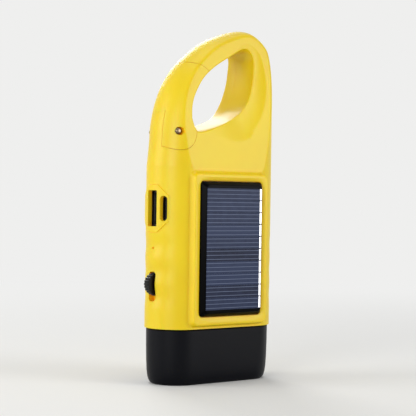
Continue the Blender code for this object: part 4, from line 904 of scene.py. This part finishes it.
def buildKnob():
    k, (x, z) = knob, knob["centre"]
    first = math.degrees(math.acos((k["flat"] - x) / k["radius"]))
    outline = []
    for i, spot in enumerate(ring((x, z), k["radius"], first, 360 - first, k["steps"])):
        wave = (1 - math.cos(math.tau * i * k["ribs"] / k["steps"])) / 2
        outline.append(Vector(spot).lerp((x, z), wave * k["ribDepth"] / k["radius"]))
    button = slab("switchKnob", outline, -k["half"], k["half"], "Y")
    soften(button, k["edge"], 3, 70)
    left, right, half, low, high, corner = k["plate"]
    plate = slab("plate", roundedBox(-half, half, low, high, corner), left, right, "X")
    soften(plate, k["plateEdge"], 2, 50)
    carve(button, plate, "UNION")
    left, right, half, low, high = k["stem"]
    stem = boxPiece("stem", (left, -half, low), (right, half, high))
    bevelEdges(stem, lambda e: edgeAlong(e, "X"), k["stemEdge"], 2)
    carve(button, endEdit(stem), "UNION")
    return settle(button, knobBlack, "switch", "black_abs", "switch_slider", angle=40)


# solar panel: a cast plate with sloped edges, ten cells behind clear epoxy, and the tinned strip
solar = dict(centre=housing["panelCentre"], face=-0.0162,
             section=[(0, -0.0129), (0, -0.0143), (-0.00008, -0.01452), (-0.00132, -0.01606), (-0.0015, -0.01617),
                      (-0.0017, -0.0162)],
             cellWidth=0.0272, cellHeight=0.0471, count=10, thick=0.0004, groove=0.0003, grooveDepth=0.00015,
             cellThick=0.0003, cellEdge=0.00006, cellGap=0.00005, sheetCorner=0.0002, busbar=0.0009, gap=0.0003,
             tab=(0.00002, 0.00015, 0.00030, 0.00012), tabCorner=0.00012, front=-0.0182, room=0.002, roomTop=0.0491)
cellHalf, cellLow = solar["cellWidth"] / 2, solar["centre"] - solar["cellHeight"] / 2
cellPitch, cellRight = solar["cellHeight"] / solar["count"], cellHalf - solar["busbar"] - solar["cellGap"]


def buildPanel():
    s, lap = solar, solar["gap"] / 2
    plate = layered("panelPlate", [(panelShape(out), level) for out, level in s["section"]], "Y")
    high = s["centre"] + s["cellHeight"] / 2
    carve(plate, brick("cellPocket", (-cellHalf - lap, s["front"], cellLow - lap),
                       (cellHalf + lap, s["face"] + s["thick"] + s["gap"], high + lap)))
    return settle(plate, epoxy, "housing", "panel_epoxy", "solar_panel", angle=25)


def upThePanel(pattern, first):  # copies of a cell or of a tab, one above the other
    return [copied(pattern, Matrix.Translation((0, 0, cellPitch * i))) for i in range(first, solar["count"])]


def buildCells():  # one cell modelled and copied up the panel, on one backing sheet
    s, face = solar, solar["face"]
    cell = boxPiece("cell", (-cellHalf, face, cellLow + s["groove"] / 2),
                    (cellRight, face + s["cellThick"], cellLow + cellPitch - s["groove"] / 2))
    bevelEdges(cell, lambda e: all(v.co.y < face + hair for v in e.verts), s["cellEdge"], 2)
    endEdit(cell)
    sheet = boxPiece("cellSheet", (-cellHalf, face + s["grooveDepth"], cellLow),
                     (cellHalf, face + s["thick"], cellLow + s["cellHeight"]))
    bevelEdges(sheet, lambda e: edgeAlong(e, "Y"), s["sheetCorner"], 2)
    endEdit(sheet)
    pieces = [sheet] + upThePanel(cell, 0)
    bpy.data.objects.remove(cell)
    whole = joined(pieces, "solarCells")
    carve(whole, brick("busbarRoom", (cellRight, s["front"], cellLow - s["room"]),
                       (cellHalf + s["room"], face + s["thick"] / 2, cellLow + s["roomTop"])))
    return settle(whole, cells, "housing", "blue_silicon", "solar_cells", angle=10, weighted=False)


def buildBusbar():
    back, front, below, above = solar["tab"]
    tab = boxPiece("tab", (cellHalf - solar["busbar"], solar["face"] + back, cellLow + below),
                   (cellHalf, solar["face"] + front, cellLow + cellPitch - above))
    bevelEdges(tab, lambda e: edgeAlong(e, "Y"), solar["tabCorner"], 3)
    endEdit(tab)
    tabs = joined([tab] + upThePanel(tab, 1), "busbarTabs")
    return settle(tabs, strip, "housing", "silver_strip", "solar_busbar", weighted=False)


# crank on the back: arm with a forked end, its screw, pin and folding grip
crank = dict(z=crankAxle[1], front=0.01265, back=0.01685, hub=0.0090, end=0.0300, endRadius=0.0076, edge=0.0006,
             gripHalf=0.0052, gripThick=0.0036, gripTop=0.0428, gripPin=0.0278, gripMiddle=0.01475, gripGap=0.0002,
             slotLow=0.0204, slotGap=0.0003, notch=0.0014, square=(0.00185, 0.06265, 0.06635), inner=0.01065,
             outer=0.01885, seat=(0.0033, 0.01495), pinHole=0.00098, armReach=0.0152, gripReach=0.0104)
# the grip's rounded ends, and the shallow grooves for the fingertip
fingertip = dict(corner=0.0031, foot=0.98, edge=0.00035, grooves=5, first=0.0034, pitch=0.0014, rise=0.00035,
                 radius=0.0006, half=0.0038)


def buildArm():
    c = crank
    ends = []
    for name, height, size in (("crankArm", c["z"], c["hub"]), ("armEnd", c["end"], c["endRadius"])):
        ends.append(roundPiece(name, (0, height), c["front"], c["back"], size, "Y", 72))
        bpy.ops.object.mode_set(mode="OBJECT")
    arm = joined(ends, "crankArm")
    bpy.ops.object.mode_set(mode="EDIT")
    bpy.ops.mesh.select_all(action="SELECT")
    bpy.ops.mesh.convex_hull()
    bevelEdges(arm, sharp, c["edge"], 5)
    endEdit(arm)
    room, top = c["gripHalf"] + c["gripGap"], c["gripTop"]
    carve(arm, brick("gripRoom", (-room, c["inner"], c["slotLow"]), (room, c["outer"], top + c["slotGap"])))
    drill(arm, (0, top), c["gripHalf"], c["back"] - c["notch"], c["outer"], 64)
    half, low, high = c["square"]
    square = [(-half, low), (half, low), (half, high), (-half, high)]
    carve(arm, slab("squareHole", square, c["inner"], c["back"], "Y"))
    drill(arm, (0, c["z"]), *c["seat"], c["outer"], 64)
    drill(arm, (c["gripMiddle"], c["gripPin"]), c["pinHole"], -c["armReach"], c["armReach"], 32, "X")
    return settle(arm, yellow, "crank", "yellow_abs", "crank_arm")


def buildGrip():
    c, f, half = crank, fingertip, crank["gripThick"] / 2
    depth, pin, top = c["gripMiddle"], c["gripPin"], c["gripTop"]
    grip = boxPiece("crankGrip", (-c["gripHalf"], depth - half, pin - half), (c["gripHalf"], depth + half, top))
    bevelEdges(grip, lambda e: edgeAlong(e, "Y") and e.verts[0].co.z > top - hair, f["corner"], 10)
    bevelEdges(grip, lambda e: edgeAlong(e, "X") and all(v.co.z < pin for v in e.verts), half * f["foot"], 10)
    bevelEdges(grip, sharp, f["edge"], 3)
    endEdit(grip)
    drill(grip, (depth, pin), c["pinHole"], -c["gripReach"], c["gripReach"], 32, "X")
    for i in range(f["grooves"]):
        spot = (depth + half + f["rise"], top - f["first"] - f["pitch"] * i)
        drill(grip, spot, f["radius"], -f["half"], f["half"], 24, "X")
    return settle(grip, black, "grip", "black_abs", "crank_grip")


# pan head screws with a cross recess, modelled once for each size
screwKinds = dict(
    cover=dict(head=0.0022, thick=0.0014, shank=0.0011, length=0.0085, cross=0.0013, arm=0.00036, deep=0.0008),
    crank=dict(head=0.0030, thick=0.0013, shank=0.0011, length=0.0042, cross=0.0018, arm=0.00045, deep=0.0008),
    small=dict(head=0.0016, thick=0.0009, shank=0.0007, length=0.0040, cross=0.0010, arm=0.00028, deep=0.0005))
screwForm = dict(dome=0.55, tip=0.6, tipWidth=0.45, above=0.004, turn=0.4)
# which screw, the name of its row, where it sits, which way its head points and the body that carries it
screwRows = [("cover", "housing_screw_", [(x, 0.01085, z) for x, z in coverScrews], ("Y", 1), "housing"),
             ("crank", "crank_screw", [(0, 0.01525, crank["z"])], ("Y", 1), "crank"),
             ("small", "circuit_board_screw_", [(x, -0.0029, z) for x, z in boardScrews], ("Y", 1), "housing"),
             ("small", "gear_plate_screw_", [(x, 0.00075, z) for x, z in plateScrews], ("Y", -1), "housing"),
             ("small", "lamp_board_screw_", [(side * 0.0078, side * 0.0063, 0.0180) for side in (-1, 1)], ("Z", 1),
              "housing")]


def buildScrew(kind):  # drawn about zero, its head up +Y and its seat at zero
    s, form = screwKinds[kind], screwForm
    screw = roundPiece(kind + "Screw", (0, 0), 0.0, s["thick"], s["head"], "Y", 40)
    bevelEdges(screw, lambda e: all(v.co.y > s["thick"] - hair for v in e.verts), s["thick"] * form["dome"], 6)
    choose(screw, "FACE", lambda f: f.normal.y < -0.9)
    bpy.ops.mesh.inset(thickness=s["head"] - s["shank"])
    for move in (-s["length"] + s["shank"] * form["tip"], -s["shank"] * form["tip"]):
        bpy.ops.mesh.extrude_region_move(TRANSFORM_OT_translate={"value": (0, move, 0)})
    bpy.ops.transform.resize(value=(form["tipWidth"], 1, form["tipWidth"]), center_override=(0, -s["length"], 0))
    endEdit(screw)
    arm, reach, floor, top = s["arm"], s["cross"], s["thick"] - s["deep"], form["above"]
    for low, high in (((-reach, floor, -arm), (reach, top, arm)), ((-arm, floor, -reach), (arm, top, reach))):
        carve(screw, brick("cross", low, high))
    return screw


def placeScrew(pattern, name, spot, way, carrier):
    turn = {("Y", 1): 0, ("Y", -1): math.pi, ("Z", 1): math.pi / 2}[way]
    own = Matrix.Rotation(screwForm["turn"] * len(name), 4, "Y")  # driven home at an angle of its own
    copy = copied(pattern, Matrix.Translation(spot) @ Matrix.Rotation(turn, 4, "X") @ own, name + "Pan")
    settle(copy, steel, carrier, "steel", name, weighted=False)


def buildScrews():
    patterns = {kind: buildScrew(kind) for kind in screwKinds}
    for kind, name, spots, way, carrier in screwRows:
        for i, spot in enumerate(spots):
            placeScrew(patterns[kind], name + str(i + 1) if len(spots) > 1 else name, spot, way, carrier)
    for pattern in patterns.values():
        bpy.data.objects.remove(pattern)


def buildGatePin():  # a plain pin with domed ends, sunk in the ears
    end = gatePin["pinEnd"]
    pin = roundPiece("gatePinDomed", hinge, -end, end, gatePin["radius"], "Y", 40)
    bevelEdges(pin, lambda e: all(abs(v.co.y) > end - hair for v in e.verts) and not edgeAlong(e, "Y"),
               gatePin["dome"], 6)
    endEdit(pin)
    return settle(pin, pinPaintedWarmShade, "housing", "steel", "gate_pin", weighted=False)


# torsion spring of the gate: a coil round the pin, a foot in the body and a leg in the gate
springWire = dict(coil=0.0024, wire=0.0003, turns=3, pitch=0.00096, leg=0.0095, foot=0.0057, steps=32, sides=4)


def buildSpring():
    s = springWire
    x, z = hinge
    start = -s["pitch"] * s["turns"] / 2
    points = [(x + s["coil"], start, z - s["foot"])]
    for i in range(s["turns"] * s["steps"] + 1):
        turn = i / s["steps"]
        points.append((x + s["coil"] * math.cos(math.tau * turn), start + s["pitch"] * turn,
                       z + s["coil"] * math.sin(math.tau * turn)))
    points.append((points[-1][0], points[-1][1], z + s["leg"]))
    curve = bpy.data.curves.new("gateSpringWire", "CURVE")
    curve.dimensions = "3D"
    curve.bevel_depth = s["wire"]
    curve.bevel_resolution = s["sides"]
    curve.use_fill_caps = True
    line = curve.splines.new("POLY")
    line.points.add(len(points) - 1)
    for point, spot in zip(line.points, points):
        point.co = (*spot, 1)
    spring = bpy.data.objects.new("gateSpringWire", curve)
    bpy.context.scene.collection.objects.link(spring)
    pick(spring)
    bpy.ops.object.convert(target="MESH")
    spring = bpy.context.object
    outwards(spring)
    settle(spring, springSteel, None, "steel", "gate_spring", angle=50, weighted=False)
    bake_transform(spring)  # its points are fixed where they are drawn, carried by no body


# lens, its seal, the metallised reflector with three bowls, and the lamps in them
optics = dict(radius=0.0089, lens=(0.0019, 0.0039), edge=0.0003, seal=(0.0042, 0.0050), sealWidth=0.0011,
              sealRoom=(0.003, 0.006), sealEdge=0.00025, reflector=(0.0053, 0.0158), pitch=0.0156, mouth=0.0070,
              neck=0.0030, deep=0.0090, past=0.001, steps=24, screw=(0.0063, 0.0008, 0.0140), lamp=(0.01075, 0.01595),
              lampRadius=0.0024, lampTurn=7.5, flange=0.0028, flangeThick=0.0008,
              chip=[(0.0004, 0.0137), (0.0010, 0.0140), (0.0011, 0.0152)])


def turned(name, profile, centre=(0, 0), sides=64):  # radii and heights spun about an upright line
    return layered(name, [(disc(centre, size, sides), height) for size, height in profile], "Z")


def buildLens():
    o = optics
    low, high = o["lens"]
    levels = ((low, o["edge"]), (low + o["edge"], 0), (high - o["edge"], 0), (high, o["edge"]))
    lens = layered("lensClear", [(stadium(sideAxis, o["radius"] - inset), level) for level, inset in levels], "Z")
    settle(lens, lensClear, "housing", "clear_plastic", "front_lens", angle=20)
    seal = slab("sealRing", stadium(sideAxis, o["radius"]), *o["seal"], "Z")
    carve(seal, slab("room", stadium(sideAxis, o["radius"] - o["sealWidth"]), *o["sealRoom"], "Z"))
    soften(seal, o["sealEdge"], 3, 50)
    settle(seal, rubber, "housing", "seal_rubber", "lens_seal")


def buildReflector():
    o = optics
    low, high = o["reflector"]
    bowls = slab("reflectorBowls", stadium(sideAxis, o["radius"]), low, high, "Z")
    profile = [(o["mouth"], low - o["past"])]
    for i in range(o["steps"] + 1):
        share = i / o["steps"]
        squared = o["neck"] ** 2 + (o["mouth"] ** 2 - o["neck"] ** 2) * (1 - share)
        profile.append((math.sqrt(squared), low + o["deep"] * share))
    profile.append((o["neck"], high + o["past"]))
    for side in (-1, 0, 1):
        carve(bowls, turned("bowl", profile, (side * o["pitch"], 0), 72))
    depth, hole, start = o["screw"]
    for side in (-1, 1):
        drill(bowls, (side * o["pitch"] / 2, side * depth), hole, start, high + o["past"], 24, "Z")
    settle(bowls, mirror, "housing", "bright_reflector", "reflector")


def buildLamps():
    o, dome = optics, optics["lampRadius"]
    low, high = o["lamp"]
    turns = [math.radians(o["lampTurn"] * i) for i in range(1, 13)]
    flange = high - o["flangeThick"]
    profile = [(dome * math.sin(turn), low + dome * (1 - math.cos(turn))) for turn in turns]
    profile += [(dome, flange), (o["flange"], flange), (o["flange"], high)]
    lamp, chip = turned("lampDome", profile, sides=40), turned("lampCup", o["chip"], sides=32)
    for i, side in enumerate((-1, 0, 1)):
        for pattern, material, slotName, replaced in ((lamp, lampClear, "clear_plastic", ["lamp_" + str(i + 1)]),
                                                      (chip, canSteel, "steel", [])):
            copy = copied(pattern, Matrix.Translation((side * o["pitch"], 0, 0)), pattern.name + str(i + 1))
            settle(copy, material, "housing", slotName, *replaced)
    for pattern in (lamp, chip):
        bpy.data.objects.remove(pattern)


def buildLightPipe():
    p = lightPipe
    pipe = roundPiece("lightPipe", (port["depth"], p["height"]), p["front"], p["back"], p["radius"], "X", 24)
    bevelEdges(pipe, lambda e: not edgeAlong(e, "X"), p["edge"], 2)
    settle(endEdit(pipe), pipeAmber, "housing", "clear_plastic", "indicator_light_pipe", weighted=False)


buildGatePin()
buildSpring()
buildLens()
buildReflector()
buildLamps()
buildLightPipe()
buildKnob()
buildPanel()
buildCells()
buildBusbar()
buildArm()
buildGrip()
buildScrews()
print("fittings built")


# a pale studio: floor, a light sky for the eye only, and two soft boxes with a dim fill
studio = dict(floor="#E8E8E6", sky="#EFEFEE", ambient=0.31, near=0.12, far=0.6, size=6, drop=-0.00002)
lamps = [dict(name="leftBack", place=(-0.90, 0.40, 0.34), aim=(0, 0, 0.08), size=(0.5, 0.6), power=4.0),
         dict(name="rightFront", place=(0.52, -0.82, 0.30), aim=(0, 0, 0.07), size=(0.5, 0.6), power=4.6),
         dict(name="leftFill", place=(-0.80, -0.42, 0.26), aim=(0, 0, 0.07), size=(0.4, 0.4), power=3.2),
         dict(name="rightBack", place=(0.33, 0.86, 0.62), aim=(0, 0, 0.1), size=(0.45, 0.45), power=3.6),
         dict(name="topBox", place=(-0.05, 0.0, 0.95), aim=(0, 0, 0.1), size=(0.6, 0.6), power=2.0)]


def plainlySeen(tree):  # 1 for rays of the camera, mirrors and clear pieces, 0 for light cast on things
    path = addNode(tree, "LightPath")
    seen = maths(tree, "MAXIMUM", path.outputs["Is Camera Ray"], path.outputs["Is Glossy Ray"])
    return maths(tree, "MAXIMUM", seen, path.outputs["Is Transmission Ray"])


def buildStudio():
    bpy.ops.mesh.primitive_plane_add(size=studio["size"], location=(0, 0, studio["drop"]))
    floor = bpy.context.object
    floor.name = "floor"
    material, tree, shader = newMaterial("floorPaperMatte")  # plain paper, lost in the light of the sky further off
    setLook(shader, Base_Color=linear(studio["floor"]), Roughness=0.9, Specular_IOR_Level=0.2)
    away = addNode(tree, "VectorMath", {0: objectPlace(tree)}, operation="LENGTH")
    far = addNode(tree, "MapRange", {"Value": away.outputs["Value"], "From Min": studio["near"],
                                     "From Max": studio["far"]}, interpolation_type="SMOOTHSTEP")
    share = maths(tree, "MULTIPLY", far.outputs["Result"], plainlySeen(tree))
    glow = addNode(tree, "Emission", {"Color": linear(studio["sky"]), "Strength": 1.0})
    mix = addNode(tree, "MixShader", {0: share, 1: shader.outputs[0], 2: glow.outputs[0]})
    tree.links.new(mix.outputs[0], tree.nodes["Material Output"].inputs["Surface"])
    floor.data.materials.append(material)
    world = bpy.data.worlds.new("studioSky")
    world.use_nodes = True
    tree = world.node_tree
    tree.nodes.clear()
    dim = addNode(tree, "Background", {"Color": linear("#FFFFFF"), "Strength": studio["ambient"]})
    pale = addNode(tree, "Background", {"Color": linear(studio["sky"]), "Strength": 1.0})
    mix = addNode(tree, "MixShader", {0: plainlySeen(tree), 1: dim.outputs[0], 2: pale.outputs[0]})
    addNode(tree, "OutputWorld", {"Surface": mix.outputs[0]})
    bpy.context.scene.world = world
    for lamp in lamps:
        bpy.ops.object.light_add(type="AREA", location=lamp["place"])
        box = bpy.context.object
        box.name = lamp["name"]
        box.data.shape = "RECTANGLE"
        box.data.size, box.data.size_y = lamp["size"]
        box.data.energy = lamp["power"]
        toward = Vector(lamp["aim"]) - Vector(lamp["place"])
        box.rotation_euler = toward.to_track_quat("-Z", "Y").to_euler()
    scene = bpy.context.scene
    scene.view_settings.view_transform = "Standard"


buildStudio()
print("scene finished")
